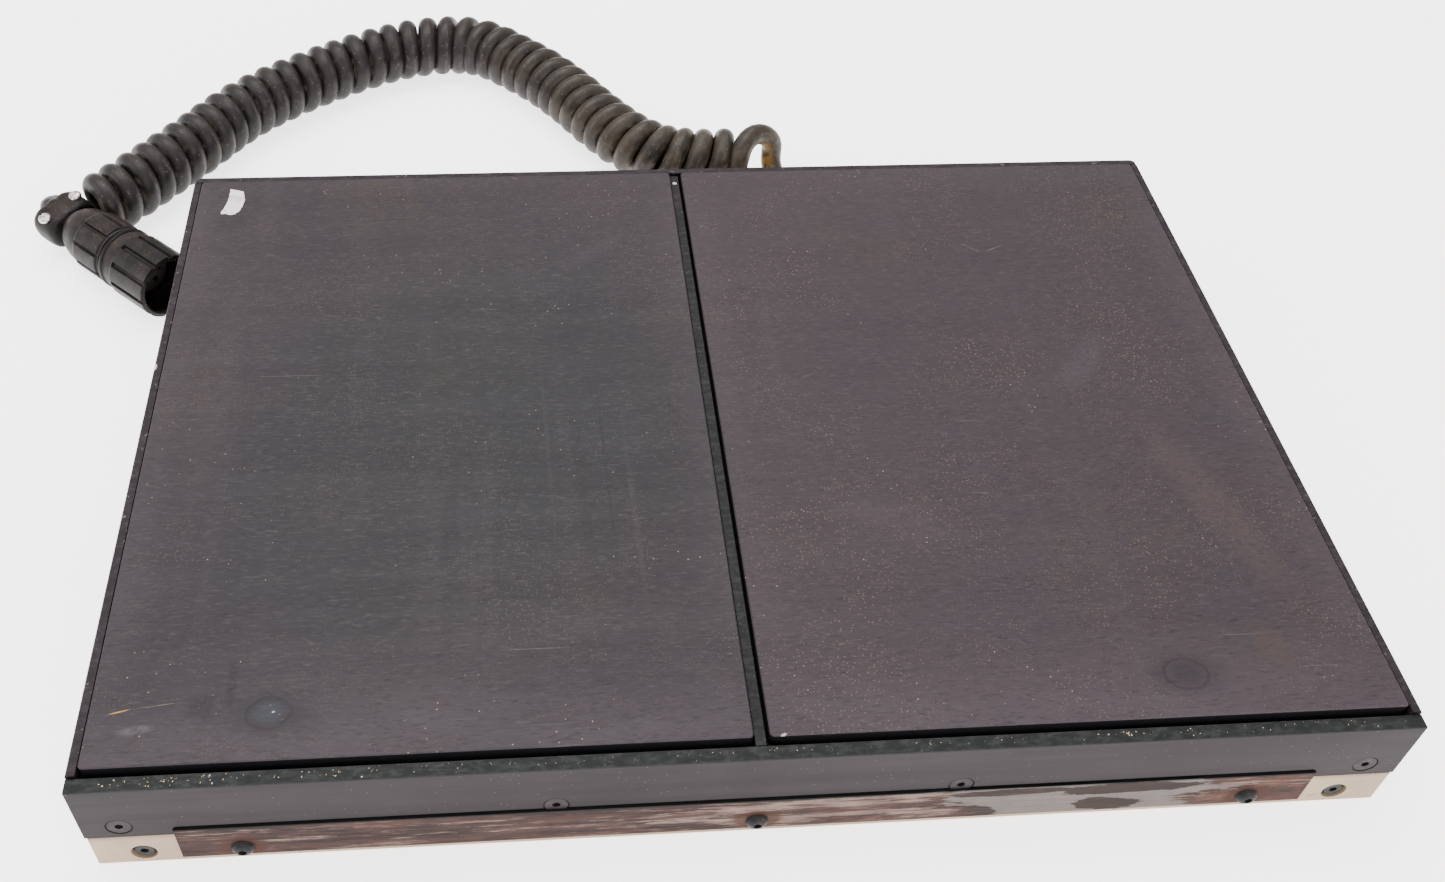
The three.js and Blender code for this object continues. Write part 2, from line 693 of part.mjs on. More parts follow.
PLATES.forEach(({ name, side }) => {
  const x = side * MIDDLE_SCREW_X;
  const y = FRONT_FACE + SWITCH_FROM_FRONT;
  const [long, wide, high] = SWITCH_SIZE;
  const low = BOTTOM_TOP + GAP;
  const top = low + high;
  const body = box(x - long / 2, x + long / 2, y - wide / 2, y + wide / 2, low, top);
  const wellDepth = PLUNGER_IN_SWITCH + PLATE_TRAVEL;
  const well = rod("z", PLUNGER + GAP, top - wellDepth, top + 1, [x, y, 0], 14);
  add(`${name}_switch`, cut(body, [well]), "switchCase");
  const plunger = rod("z", PLUNGER, top - PLUNGER_IN_SWITCH, PLATE_BOTTOM - GAP, [x, y, 0], 14);
  add(`${name}_switch_plunger`, plunger, "nylon");
});

const TERMINAL = { y: HINGE_Y - 26, long: 62, wide: 16, high: 9, barriers: 7, barrierHigh: 5, thick: 1.6 };

function terminalStrip() {
  const low = BOTTOM_TOP + GAP;
  const start = GLAND_X - TERMINAL.long / 2;
  const near = TERMINAL.y - TERMINAL.wide / 2;
  const far = TERMINAL.y + TERMINAL.wide / 2;
  const top = low + TERMINAL.high;
  const base = box(start, start + TERMINAL.long, near, far, low, top);
  const step = (TERMINAL.long - TERMINAL.thick) / (TERMINAL.barriers - 1);
  const barriers = Array.from({ length: TERMINAL.barriers }, (_, i) =>
    box(start + i * step, start + i * step + TERMINAL.thick, near, far, top - 1, top + TERMINAL.barrierHigh),
  );
  return join(base, barriers);
}

add("terminal_strip", terminalStrip(), "switchCase");

// ---------------------------------------------------------------- cord gland

function cordGland() {
  const start = BACK_INNER - NUT_THICKNESS - 1;
  const outside = BACK_FACE + GAP;
  const body = CABLE_BORE + GLAND_WALL;
  const profile = [
    [CABLE_BORE, start],
    [body, start],
    [body, outside],
    [body + 2.4, outside],
    [body + 2.4, outside + 3],
    [body + 0.6, outside + 4],
    [CABLE_BORE + 0.9, outside + GLAND_LENGTH],
    [CABLE_BORE, outside + GLAND_LENGTH],
    [CABLE_BORE, start],
  ];
  return turned(profile, 24).translate(GLAND_X, 0, GLAND_HEIGHT);
}

function glandNut() {
  const end = BACK_INNER - GAP;
  const nut = rod("y", NUT_RADIUS, end - NUT_THICKNESS, end, [GLAND_X, 0, GLAND_HEIGHT], 6);
  const bore = CABLE_BORE + GLAND_WALL + GAP;
  return cut(nut, [rod("y", bore, end - NUT_THICKNESS - 1, end + 1, [GLAND_X, 0, GLAND_HEIGHT])]);
}

add("cord_gland", cordGland(), "plug");
add("gland_nut", glandNut(), "steel");

// The stripped inner cores run from the gland, under the hinge rod, to the terminal strip.
const CORES = 3.2;
const coresRoute = smooth([
  [GLAND_X, BACK_INNER - NUT_THICKNESS - 1.2, GLAND_HEIGHT],
  [GLAND_X, BACK_INNER - NUT_THICKNESS - 3, GLAND_HEIGHT - 0.2],
  [GLAND_X, HINGE_Y + 5, HINGE_HEIGHT - 8],
  [GLAND_X, HINGE_Y - 3, HINGE_HEIGHT - 13],
  [GLAND_X, TERMINAL.y + TERMINAL.wide / 2 + 6, BOTTOM_TOP + 5.5],
  [GLAND_X, TERMINAL.y + TERMINAL.wide / 2 + 1.2, BOTTOM_TOP + 5],
]);
add("cable_cores", tube(coresRoute, CORES, 12, 8), "cord");

// ---------------------------------------------------------------- plug

const plug = new THREE.Group();
plug.position.set(...MOUTH);
plug.rotation.z = PLUG_TURN;
assembly.add(plug);

// A cross-section with raised pads round it, as an outline in the plug's Y-Z plane.
function paddedRound(count, low, high, share, segments = 2) {
  const shape = new THREE.Shape();
  const pitch = (2 * Math.PI) / count;
  for (let i = 0; i < count; i += 1) {
    for (const [radius, start, span] of [[high, 0, share], [low, share, 1 - share]]) {
      for (let k = 0; k <= segments; k += 1) {
        const angle = pitch * (i + start + (span * k) / segments);
        const place = [radius * Math.cos(angle), radius * Math.sin(angle)];
        if (i === 0 && start === 0 && k === 0) shape.moveTo(...place);
        else shape.lineTo(...place);
      }
    }
  }
  return shape;
}

function couplingRing() {
  const padded = prismAlongX(paddedRound(RING_PADS, RING_SMOOTH, RING, 0.74), 0, PAD_LENGTH);
  const smoothPart = turnedAlongX([
    [0, 1],
    [RING_SMOOTH, 1],
    [RING_SMOOTH, RING_LENGTH - 2.4],
    [RING_SMOOTH + 0.7, RING_LENGTH - 1.8],
    [RING_SMOOTH + 0.7, RING_LENGTH],
    [0, RING_LENGTH],
  ]);
  const inside = turnedAlongX([
    [0, -1],
    [RING_BORE, -1],
    [RING_BORE, RING_LENGTH - 3.6],
    [PLUG_NECK + GAP, RING_LENGTH - 3.6],
    [PLUG_NECK + GAP, RING_LENGTH + 1],
    [0, RING_LENGTH + 1],
  ]);
  return cut(join(padded, [smoothPart]), [inside]);
}

function plugBody() {
  const flangeEnd = RING_LENGTH - 3.6 - GAP;
  const body = turnedAlongX([
    [0, INSERT_RECESS],
    [INSERT, INSERT_RECESS],
    [INSERT, flangeEnd - 3.5],
    [RING_BORE - GAP, flangeEnd - 3.5],
    [RING_BORE - GAP, flangeEnd],
    [PLUG_NECK, flangeEnd],
    [PLUG_NECK, RING_LENGTH + 0.4],
    [PLUG_NECK - 1.5, RING_LENGTH + 0.4],
    [PLUG_NECK - 1.5, RING_LENGTH + 9],
    [0, RING_LENGTH + 9],
  ]);
  const rows = [[1, 0], [6, 5.6]];
  const contacts = rows.flatMap(([count, radius]) =>
    Array.from({ length: count }, (_, i) => {
      const angle = (2 * Math.PI * i) / count;
      const place = [0, radius * Math.cos(angle), radius * Math.sin(angle)];
      return rod("x", 1.3, INSERT_RECESS - 1, INSERT_RECESS + 3, place, 8);
    }),
  );
  return cut(body, contacts);
}

function backshell() {
  const start = RING_LENGTH + 1;
  const outside = turnedAlongX([
    [0, start],
    [13.2, start],
    [13.2, SHELL_END - 12],
    [12.2, SHELL_END - 8],
    [10.4, SHELL_END - 4],
    [9.4, SHELL_END],
    [0, SHELL_END],
  ]);
  const pads = prismAlongX(paddedRound(9, 12.6, 14.1, 0.66), start + 2.5, start + 18);
  // Two arms under the cable carry the clamp's lower saddle.
  const ear = CLAMP_SCREW_SPACING / 2 + 3;
  const arms = [-1, 1].map((hand) =>
    box(SHELL_END - 6, CLAMP_END, Math.min(hand * 5.9, hand * 8.2), Math.max(hand * 5.9, hand * 8.2), -4, -0.4),
  );
  const saddle = box(CLAMP_START, CLAMP_END, -ear, ear, -4, -0.4);
  const keel = box(CLAMP_START, CLAMP_END, -7, 7, -8, -3);
  const screwHoles = [-1, 1].map((hand) =>
    rod("z", 1.5 + GAP, -10, 2, [(CLAMP_START + CLAMP_END) / 2, (hand * CLAMP_SCREW_SPACING) / 2, 0], 16),
  );
  return cut(join(outside, [pads, ...arms, saddle, keel]), [
    rod("x", PLUG_NECK - 1.5 + GAP, start - 1, RING_LENGTH + 10, [0, 0, 0]),
    rod("x", CABLE_BORE, start - 1, CLAMP_END + 1, [0, 0, 0]),
    ...screwHoles,
  ]);
}

function clampStrap() {
  const ear = CLAMP_SCREW_SPACING / 2 + 3;
  const outline = new THREE.Shape();
  outline.moveTo(-ear, 0.4);
  outline.lineTo(ear, 0.4);
  outline.lineTo(ear, 4.2);
  outline.lineTo(6.6, 4.2);
  outline.absarc(0, 2.8, 6.4, Math.PI * 0.1, Math.PI * 0.9);
  outline.lineTo(-6.6, 4.2);
  outline.lineTo(-ear, 4.2);
  const middle = (CLAMP_START + CLAMP_END) / 2;
  return cut(prismAlongX(outline, CLAMP_START, CLAMP_END, 14), [
    rod("x", CABLE_BORE, CLAMP_START - 1, CLAMP_END + 1, [0, 0, 0]),
    ...[-1, 1].map((hand) => rod("z", 1.5 + GAP, -1, 12, [middle, (hand * CLAMP_SCREW_SPACING) / 2, 0], 16)),
  ]);
}

function clampScrew(hand) {
  const top = 6.9;
  const seat = 4.9;
  const profile = [[0, -5], [1.5, -5], [1.5, seat], [2.7, seat], [2.7, top - 0.7], [2.1, top], [0, top]];
  const slot = box(-0.35, 0.35, -4, 4, top - 0.9, top + 1);
  const screw = cut(turned(profile, 20).rotateX(Math.PI / 2), [slot]);
  return screw.translate((CLAMP_START + CLAMP_END) / 2, (hand * CLAMP_SCREW_SPACING) / 2, 0);
}

add("coupling_ring", couplingRing(), "plug", plug);
add("plug_body", plugBody(), "plug", plug);
add("backshell", backshell(), "plug", plug);
add("clamp_strap", clampStrap(), "plug", plug);
add("clamp_screw_1", clampScrew(-1), "steel", plug);
add("clamp_screw_2", clampScrew(1), "steel", plug);

// ---------------------------------------------------------------- cord

// A place beside the plug: along its axis from the mouth, across it, and above the table.
function besidePlug(along, across, height) {
  return [
    MOUTH[0] + along * Math.cos(PLUG_TURN) + across * Math.sin(PLUG_TURN),
    MOUTH[1] + along * Math.sin(PLUG_TURN) - across * Math.cos(PLUG_TURN),
    height,
  ];
}

const bodyTail = smooth([
  [GLAND_X, BACK_INNER - 4.6, GLAND_HEIGHT],
  [GLAND_X, BACK_FACE + 8, GLAND_HEIGHT],
  [GLAND_X, BACK_FACE + GLAND_LENGTH + 0.7, GLAND_HEIGHT],
  fromGland(0, 16.6, 25.4),
  fromGland(0.3, 22.4, 20.4),
  fromGland(1, 28.6, 15),
  fromGland(1.8, 34.8, 11.4),
  fromGland(2.2, 40.8, 10),
  fromGland(2, 46.2, 10.3),
  fromGland(1.3, 51.2, 12.4),
]);
add("cord_tail_body", tube(bodyTail, CORD, 20), "cord");

const coilRoute = smooth([
  besidePlug(69.5, 13.6, COIL),
  fromCorner(-47.6, 27.9, COIL),
  fromCorner(-34.5, 44.7, COIL),
  fromCorner(-17, 68, COIL),
  fromCorner(6, 100, COIL),
  fromCorner(34, 124.6, COIL),
  fromCorner(68, 146.4, COIL),
  fromCorner(88, 154.8, COIL),
  fromCorner(109, 158.2, COIL),
  fromCorner(122, 156.4, COIL),
  fromCorner(133.5, 149.7, COIL),
  fromGland(-130, 139, COIL),
  fromGland(-117, 125.6, COIL),
  fromGland(-103.5, 107.4, COIL),
  fromGland(-89, 84.2, COIL),
  fromGland(-75, 65.7, COIL),
  fromGland(-60, 54.2, COIL),
  fromGland(-45, 50.4, COIL),
  fromGland(-30, 49.8, COIL),
  fromGland(-16, 50.2, COIL),
  fromGland(-6, 50.8, COIL),
]);
add("cord_coil", tube(coilRoute, COIL, 34, 12), "cord");

const plugTail = smooth([
  besidePlug(55.5, 0, MOUTH[2]),
  besidePlug(69.5, 0, MOUTH[2]),
  besidePlug(82.5, 0, MOUTH[2]),
  besidePlug(88.1, 1.8, 14),
  besidePlug(91.1, 6.4, 10.8),
  besidePlug(89.9, 11, 7.2),
  besidePlug(86.1, 13.4, 5.5),
]);
add("cord_tail_plug", tube(plugTail, CORD, 16), "cord");

export default assembly;
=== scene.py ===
"""Looks of the twin-plate press controller: its curly cord, plug, screws, dust and materials."""

import json
import math
import random

import bmesh
import bpy
import numpy as np
from mathutils import Matrix, Vector


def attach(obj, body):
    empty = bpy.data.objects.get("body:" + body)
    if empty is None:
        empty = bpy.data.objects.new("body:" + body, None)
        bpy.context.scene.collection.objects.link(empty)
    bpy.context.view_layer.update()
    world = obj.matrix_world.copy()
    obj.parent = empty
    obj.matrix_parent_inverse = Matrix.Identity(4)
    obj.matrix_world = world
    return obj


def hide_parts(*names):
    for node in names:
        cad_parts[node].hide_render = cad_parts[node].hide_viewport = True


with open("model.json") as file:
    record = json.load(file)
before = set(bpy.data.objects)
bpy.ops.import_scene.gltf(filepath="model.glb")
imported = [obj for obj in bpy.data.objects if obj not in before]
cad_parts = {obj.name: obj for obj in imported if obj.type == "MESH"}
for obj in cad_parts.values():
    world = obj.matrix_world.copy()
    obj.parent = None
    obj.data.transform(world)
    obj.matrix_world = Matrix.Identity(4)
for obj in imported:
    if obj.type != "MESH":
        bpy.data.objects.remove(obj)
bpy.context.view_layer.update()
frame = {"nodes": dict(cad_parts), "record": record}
random.seed(7)  # keeps the crumbs and the torn label the same each run

MM = 0.001

# ---------------------------------------------------------------- camera, light and floor


CAMERA_PLACE = (-0.0714, -0.3855, 0.4412)
CAMERA_AHEAD = (0.0696, 0.6841, -0.7261)
CAMERA_ROLL = math.radians(-2.35)
CAMERA_LENS = 36.06
CAMERA_SHIFT = (0.0651, -0.0030)


def add_camera():
    forward = Vector(CAMERA_AHEAD).normalized()
    right = forward.cross(Vector((0, 0, 1))).normalized()
    down = forward.cross(right)
    turned_right = right * math.cos(CAMERA_ROLL) + down * math.sin(CAMERA_ROLL)
    turned_down = down * math.cos(CAMERA_ROLL) - right * math.sin(CAMERA_ROLL)
    data = bpy.data.cameras.new("camera")
    data.sensor_width = 36
    data.lens = CAMERA_LENS
    data.shift_x, data.shift_y = CAMERA_SHIFT
    data.clip_start = 0.01
    camera = bpy.data.objects.new("camera", data)
    turn = Matrix((turned_right, -turned_down, -forward)).transposed()
    camera.matrix_world = Matrix.Translation(CAMERA_PLACE) @ turn.to_4x4()
    bpy.context.scene.collection.objects.link(camera)
    bpy.context.scene.camera = camera


def add_area_light(name, place, target, size, power, colour):
    data = bpy.data.lights.new(name, "AREA")
    data.shape = "RECTANGLE"
    data.size, data.size_y = size
    data.energy = power
    data.color = colour
    light = bpy.data.objects.new(name, data)
    light.location = place
    light.rotation_mode = "QUATERNION"
    light.rotation_quaternion = (Vector(target) - Vector(place)).to_track_quat("-Z", "Y")
    bpy.context.scene.collection.objects.link(light)


add_camera()
# Name, place, the point it faces, size in metres, watts and colour.
LIGHTS = [
    ("soft_box_above", (-0.25, 0.5, 1.5), (0, 0, 0), (1.6, 1.2), 34, (1, 0.985, 0.98)),
    ("soft_box_front", (0.5, -1.5, 0.9), (0, 0, 0.03), (1.6, 1.0), 24, (1, 0.975, 0.97)),
    ("soft_box_left", (-1.6, -0.1, 0.8), (-0.1, 0.05, 0.02), (0.9, 0.9), 12, (0.97, 0.985, 1)),
]
for light in LIGHTS:
    add_area_light(*light)

world = bpy.data.worlds.new("studio")
world.use_nodes = True
world.node_tree.nodes["Background"].inputs["Color"].default_value = (1, 0.985, 0.98, 1)
world.node_tree.nodes["Background"].inputs["Strength"].default_value = 1.1
bpy.context.scene.world = world

# ---------------------------------------------------------------- shader helpers

# The Mix node has a socket of its own for each kind of data. These are its colour ones.
MIX_COLOUR_A, MIX_COLOUR_B, MIX_COLOUR_OUT = 6, 7, 2


class Shader:
    """A node material that is built from its coordinates towards the surface."""

    def __init__(self, name):
        self.material = bpy.data.materials.new(name)
        self.material.use_nodes = True
        self.tree = self.material.node_tree
        self.surface = self.tree.nodes["Principled BSDF"]
        coordinates = self.tree.nodes.new("ShaderNodeTexCoord")
        self.place = coordinates.outputs["Object"]
        self.uv = coordinates.outputs["UV"]
        self.normal = self.tree.nodes.new("ShaderNodeNewGeometry").outputs["Normal"]

    def put(self, socket, value):
        if isinstance(value, bpy.types.NodeSocket):
            self.tree.links.new(value, socket)
        elif isinstance(value, tuple) and len(value) == 3 and socket.type == "RGBA":
            socket.default_value = (*value, 1)
        else:
            socket.default_value = value

    def node(self, kind, **settings):
        made = self.tree.nodes.new(kind)
        for key, value in settings.items():
            setattr(made, key, value)
        return made

    def scaled(self, vector, scale, move=(0, 0, 0), turn=0.0):
        made = self.node("ShaderNodeMapping")
        self.put(made.inputs["Vector"], vector)
        made.inputs["Scale"].default_value = scale
        made.inputs["Location"].default_value = move
        made.inputs["Rotation"].default_value = (0, 0, turn)
        return made.outputs["Vector"]

    def noise(self, scale, detail=3.0, roughness=0.55, stretch=None, move=(0, 0, 0), turn=0.0):
        """Cloudy noise, stretched along an axis where stretch is below one there."""
        place = self.scaled(self.place, stretch, move, turn) if stretch else self.place
        made = self.node("ShaderNodeTexNoise")
        self.put(made.inputs["Vector"], place)
        made.inputs["Scale"].default_value = scale
        made.inputs["Detail"].default_value = detail
        made.inputs["Roughness"].default_value = roughness
        return made.outputs["Fac"]

    def cells(self, scale):
        """The distance to the nearest of many scattered points."""
        made = self.node("ShaderNodeTexVoronoi")
        self.put(made.inputs["Vector"], self.place)
        made.inputs["Scale"].default_value = scale
        return made.outputs["Distance"]

    def math(self, operation, a, b=0.0):
        made = self.node("ShaderNodeMath", operation=operation)
        self.put(made.inputs[0], a)
        self.put(made.inputs[1], b)
        return made.outputs[0]

    def times(self, value, *others):
        for other in others:
            value = self.math("MULTIPLY", value, other)
        return value

    def highest(self, value, *others):
        for other in others:
            value = self.math("MAXIMUM", value, other)
        return value

    def plus(self, a, b):
        return self.math("ADD", a, b)

    def minus(self, a, b):
        return self.math("SUBTRACT", a, b)

    def size(self, value):
        return self.math("ABSOLUTE", value)

    def span(self, value, low, high, out_low=0.0, out_high=1.0):
        """A smooth step from one output to the other while the value goes from low to high."""
        made = self.node("ShaderNodeMapRange", clamp=True)
        made.interpolation_type = "SMOOTHSTEP"
        self.put(made.inputs["Value"], value)
        made.inputs["From Min"].default_value = low
        made.inputs["From Max"].default_value = high
        made.inputs["To Min"].default_value = out_low
        made.inputs["To Max"].default_value = out_high
        return made.outputs["Result"]

    def mix(self, factor, a, b):
        made = self.node("ShaderNodeMix", data_type="RGBA")
        self.put(made.inputs["Factor"], factor)
        self.put(made.inputs[MIX_COLOUR_A], a)
        self.put(made.inputs[MIX_COLOUR_B], b)
        return made.outputs[MIX_COLOUR_OUT]

    def axis(self, letter, vector=None):
        made = self.node("ShaderNodeSeparateXYZ")
        self.put(made.inputs[0], vector or self.place)
        return made.outputs[letter]

    def distance_to(self, point, stretch=(1, 1, 1)):
        moved = self.scaled(self.place, stretch, tuple(-p * s for p, s in zip(point, stretch)))
        made = self.node("ShaderNodeVectorMath", operation="LENGTH")
        self.put(made.inputs[0], moved)
        return made.outputs["Value"]

    def spot(self, point, half_sizes, turn=0.0, inner=0.3, outer=1.0, height="Y"):
        """One in an ellipse on the plate (or, with height Z, the front face), zero outside."""
        moved = self.node("ShaderNodeVectorMath", operation="SUBTRACT")
        self.put(moved.inputs[0], self.place)
        flat = (point[0], point[1], 0) if height == "Y" else (point[0], 0, point[1])
        moved.inputs[1].default_value = tuple(v * MM for v in flat)
        turned = self.node("ShaderNodeVectorRotate", rotation_type="Z_AXIS")
        self.put(turned.inputs["Vector"], moved.outputs[0])
        turned.inputs["Angle"].default_value = -turn
        across = (1 / half_sizes[1], 0) if height == "Y" else (0, 1 / half_sizes[1])
        sized = self.scaled(turned.outputs[0], tuple(v / MM for v in (1 / half_sizes[0], *across)))
        made = self.node("ShaderNodeVectorMath", operation="LENGTH")
        self.put(made.inputs[0], sized)
        return self.span(made.outputs["Value"], outer, inner)

    def bump(self, height, distance, strength):
        made = self.node("ShaderNodeBump")
        made.inputs["Distance"].default_value = distance
        made.inputs["Strength"].default_value = strength
        self.put(made.inputs["Height"], height)
        self.put(self.surface.inputs["Normal"], made.outputs["Normal"])

    def finish(self, colour, roughness, metallic=0.0, **constants):
        self.put(self.surface.inputs["Base Color"], colour)
        self.put(self.surface.inputs["Roughness"], roughness)
        self.put(self.surface.inputs["Metallic"], metallic)
        for key, value in constants.items():
            self.surface.inputs[key.replace("_", " ")].default_value = value
        return self.material


def srgb(r, g, b):
    """A colour given as 0 to 255 steps on a screen, in linear light."""
    steps = [c / 255 for c in (r, g, b)]
    return tuple(c / 12.92 if c <= 0.04045 else ((c + 0.055) / 1.055) ** 2.4 for c in steps)


# ---------------------------------------------------------------- materials


def floor_material():
    shader = Shader("pale_floor")
    soft = shader.mix(shader.noise(3), (0.9, 0.862, 0.86), (0.93, 0.895, 0.892))
    shader.surface.inputs["Emission Color"].default_value = (1, 0.985, 0.98, 1)
    shader.surface.inputs["Emission Strength"].default_value = 2.6
    return shader.finish(soft, 0.9, Specular_IOR_Level=0.1)


# Marks on the press plates: place and half sizes in mm, slant, colour and strength.
PLATE_MARKS = [
    ((-202, -126), (4.4, 0.34), 0.24, (176, 140, 74), 0.9),
    ((-190, -124.2), (9, 0.16), 0.12, (126, 112, 92), 0.7),
    ((-196, -133), (7, 2.2), 0.1, (92, 86, 90), 0.5),
    ((-168, -118), (2.4, 13), 0.05, (28, 25, 30), 0.6),
    ((122.5, 90.5), (6, 0.17), -0.72, (124, 114, 116), 0.7),
    ((132, 90.2), (6.5, 0.17), 0.42, (124, 114, 116), 0.7),
    ((-52, -40), (3.4, 62), 0.03, (36, 33, 35), 0.5),
    ((-34, -52), (1.6, 55), 0.03, (58, 52, 54), 0.4),
    ((-64, -20), (1.2, 58), 0.03, (56, 51, 52), 0.35),
    ((-43, -30), (0.9, 60), 0.03, (30, 28, 30), 0.5),
    ((178, -60), (12, 60), 0.3, (66, 54, 52), 0.45),
    ((175, -122), (9, 15), 0.25, (64, 51, 44), 0.45),
    ((-190, 20), (10, 90), -0.02, (56, 50, 50), 0.4),
    ((-176, -126), (9, 7), 0.1, (26, 25, 28), 0.5),
    ((-196, 120), (14, 10), 0.2, (30, 27, 31), 0.4),
    ((6, -145.4), (1.3, 0.6), 0.3, (206, 196, 186), 0.9),
    ((-154, -128.4), (0.7, 0.5), 0.4, (214, 208, 204), 0.95),
    ((150, 18), (26, 9), 0.9, (62, 55, 60), 0.5),
    ((60, -60), (34, 12), -0.3, (60, 52, 57), 0.45),
    ((-40, 96), (22, 6), 0.7, (56, 51, 54), 0.4),
    ((-120, 60), (30, 10), -0.5, (36, 36, 38), 0.4),
]

# Round stains on the plates: middle in metres, and colour.
ROUND_STAINS = [
    ((-0.1555, -0.129, 0.0474), (52, 58, 66)),
    ((0.142, -0.1295, 0.0474), (34, 28, 34)),
]


def plate_material():
    """Matte black anodising with a felt-like grain, golden dust, hairlines and dull stains."""
    shader = Shader("plate_black")
    x = shader.axis("X")
    y = shader.axis("Y")
    cloud = shader.noise(7, 4, 0.6)
    base = shader.mix(shader.span(cloud, 0.3, 0.7), srgb(38, 34, 38), srgb(47, 41, 44))
    right = shader.span(x, -0.004, 0.004)
    base = shader.mix(shader.times(right, 0.6), base, srgb(53, 43, 48))
    # Olive and blue tints drift over the middle of the left plate.
    left = shader.span(x, 0.004, -0.004)
    middle = shader.span(shader.distance_to((-0.09, -0.01, 0.047), (1, 0.75, 1)), 0.12, 0.02)
    tint = shader.times(left, middle)
    base = shader.mix(shader.times(tint, 0.6), base, srgb(34, 36, 37))
    olive = shader.span(shader.noise(16, 5, 0.65, (1, 0.8, 1), (4, 1, 2)), 0.52, 0.72)
    base = shader.mix(shader.times(olive, 0.3), base, srgb(58, 50, 42))
    blue = shader.span(shader.noise(13, 4, 0.6, (1, 1, 1), (1, 8, 2)), 0.55, 0.72)
    base = shader.mix(shader.times(blue, 0.3), base, srgb(38, 40, 48))
    # A paler band along the front edge, and a fainter one round the other edges.
    front = shader.span(y, -0.1, -0.146)
    sides = shader.span(shader.size(x), 0.19, 0.21, 0, 0.5)
    rear = shader.span(y, 0.128, 0.147, 0, 0.35)
    rib = shader.span(shader.size(x), 0.02, 0.004, 0, 0.3)
    border = shader.highest(sides, front, shader.highest(rear, rib))
    grain = shader.noise(50, 5, 0.7, (0.4, 1, 1))
    veil = shader.times(border, shader.span(grain, 0.25, 0.75, 0.4, 1))
    base = shader.mix(shader.times(veil, 0.55), base, srgb(70, 62, 67))
    # Rubbed bands run from front to back on the right plate, and across on the left one.
    bands = shader.noise(30, 4, 0.7, (1.6, 0.08, 1), (3, 1, 0))
    base = shader.mix(shader.span(bands, 0.5, 0.8, 0, 0.28), base, srgb(60, 53, 58))
    streak = shader.noise(40, 6, 0.75, (0.1, 1.3, 1))
    base = shader.mix(shader.span(streak, 0.55, 0.82, 0, 0.2), base, srgb(62, 56, 60))
    # Felt-like grain: short slanting fibres, light and dark.
    for turn, seed, tone in ((0.9, 1.7, (66, 60, 62)), (-0.7, 5.2, (26, 24, 28))):
        fibre = shader.noise(900, 3, 0.6, (0.3, 1.3, 1), (seed, seed, 0), turn)
        base = shader.mix(shader.span(fibre, 0.5, 0.75, 0, 0.55), base, srgb(*tone))
    # Thin hairline scratches at two slants.
    for turn, seed, amount in ((0.5, 1.3, 0.5), (-0.9, 4.1, 0.35)):
        line = shader.noise(42, 2, 0.4, (0.35, 14, 1), (seed, seed, 0), turn)
        area = shader.span(shader.noise(14, 2, 0.5, (1, 1, 1), (seed, 2, 0)), 0.58, 0.7)
        hair = shader.times(shader.span(line, 0.715, 0.74), area)
        base = shader.mix(shader.times(hair, amount), base, srgb(104, 96, 98))
    # Fine golden dust, thicker on the right plate, and a few pale specks.
    dust = shader.span(shader.cells(760), 0.26, 0.1)
    patchy = shader.span(shader.noise(20, 4, 0.65), 0.38, 0.66)
    heavy = shader.span(x, -0.05, 0.05, 0.45, 0.9)
    amount = shader.times(dust, patchy, heavy)
    base = shader.mix(amount, base, srgb(104, 86, 66))
    fine = shader.span(shader.cells(300), 0.085, 0.05)
    some = shader.span(shader.noise(26, 3, 0.6, (1, 1, 1), (2, 9, 0)), 0.5, 0.6)
    base = shader.mix(shader.times(fine, some, 0.7), base, srgb(168, 146, 118))
    for point, tone in ROUND_STAINS:
        away = shader.distance_to(point, (0.8, 1, 1))
        ragged = shader.plus(away, shader.times(shader.noise(160, 3), 0.003))
        halo = shader.span(shader.distance_to(point, (0.6, 1, 1)), 0.011, 0.004, 0, 0.4)
        base = shader.mix(halo, base, srgb(28, 26, 29))
        base = shader.mix(shader.span(ragged, 0.0068, 0.0036, 0, 0.4), base, srgb(*tone))
        rim = shader.size(shader.minus(ragged, 0.0072))
        base = shader.mix(shader.span(rim, 0.0007, 0.0003, 0, 0.35), base, srgb(24, 21, 25))
    for point, sizes, turn, tone, amount in PLATE_MARKS:
        mark = shader.spot(point, sizes, turn)
        ragged = shader.times(mark, shader.span(shader.noise(500, 4, 0.7), 0.3, 0.55))
        base = shader.mix(shader.times(ragged, amount), base, srgb(*tone))
    # The plate's sides are painted nearly black: painted shade of the gap round the plate, on a
    # dark raw edge.
    level = shader.size(shader.axis("Z", shader.normal))
    base = shader.mix(shader.span(level, 0.35, 0.15), base, srgb(14, 13, 17))
    rough = shader.span(streak, 0.3, 0.8, 0.52, 0.7)
    shader.bump(shader.noise(2600, 2, 0.6), 0.00004, 0.5)
    return shader.finish(base, rough, 0.0, Specular_IOR_Level=0.2)


def middle_of(name):
    node = frame["nodes"][name]
    corners = [node.matrix_world @ Vector(c) for c in node.bound_box]
    return tuple(sum(corners, Vector()) / len(corners))


FACE_SCREW_NODES = [f"front_screw_{k}" for k in (1, 2, 3, 4)]
FACE_SCREW_PLACES = [middle_of(name) for name in FACE_SCREW_NODES]


SCREW_SHADE_RING = 4.15 * MM  # from a flat head's middle to the ring of painted shade round it
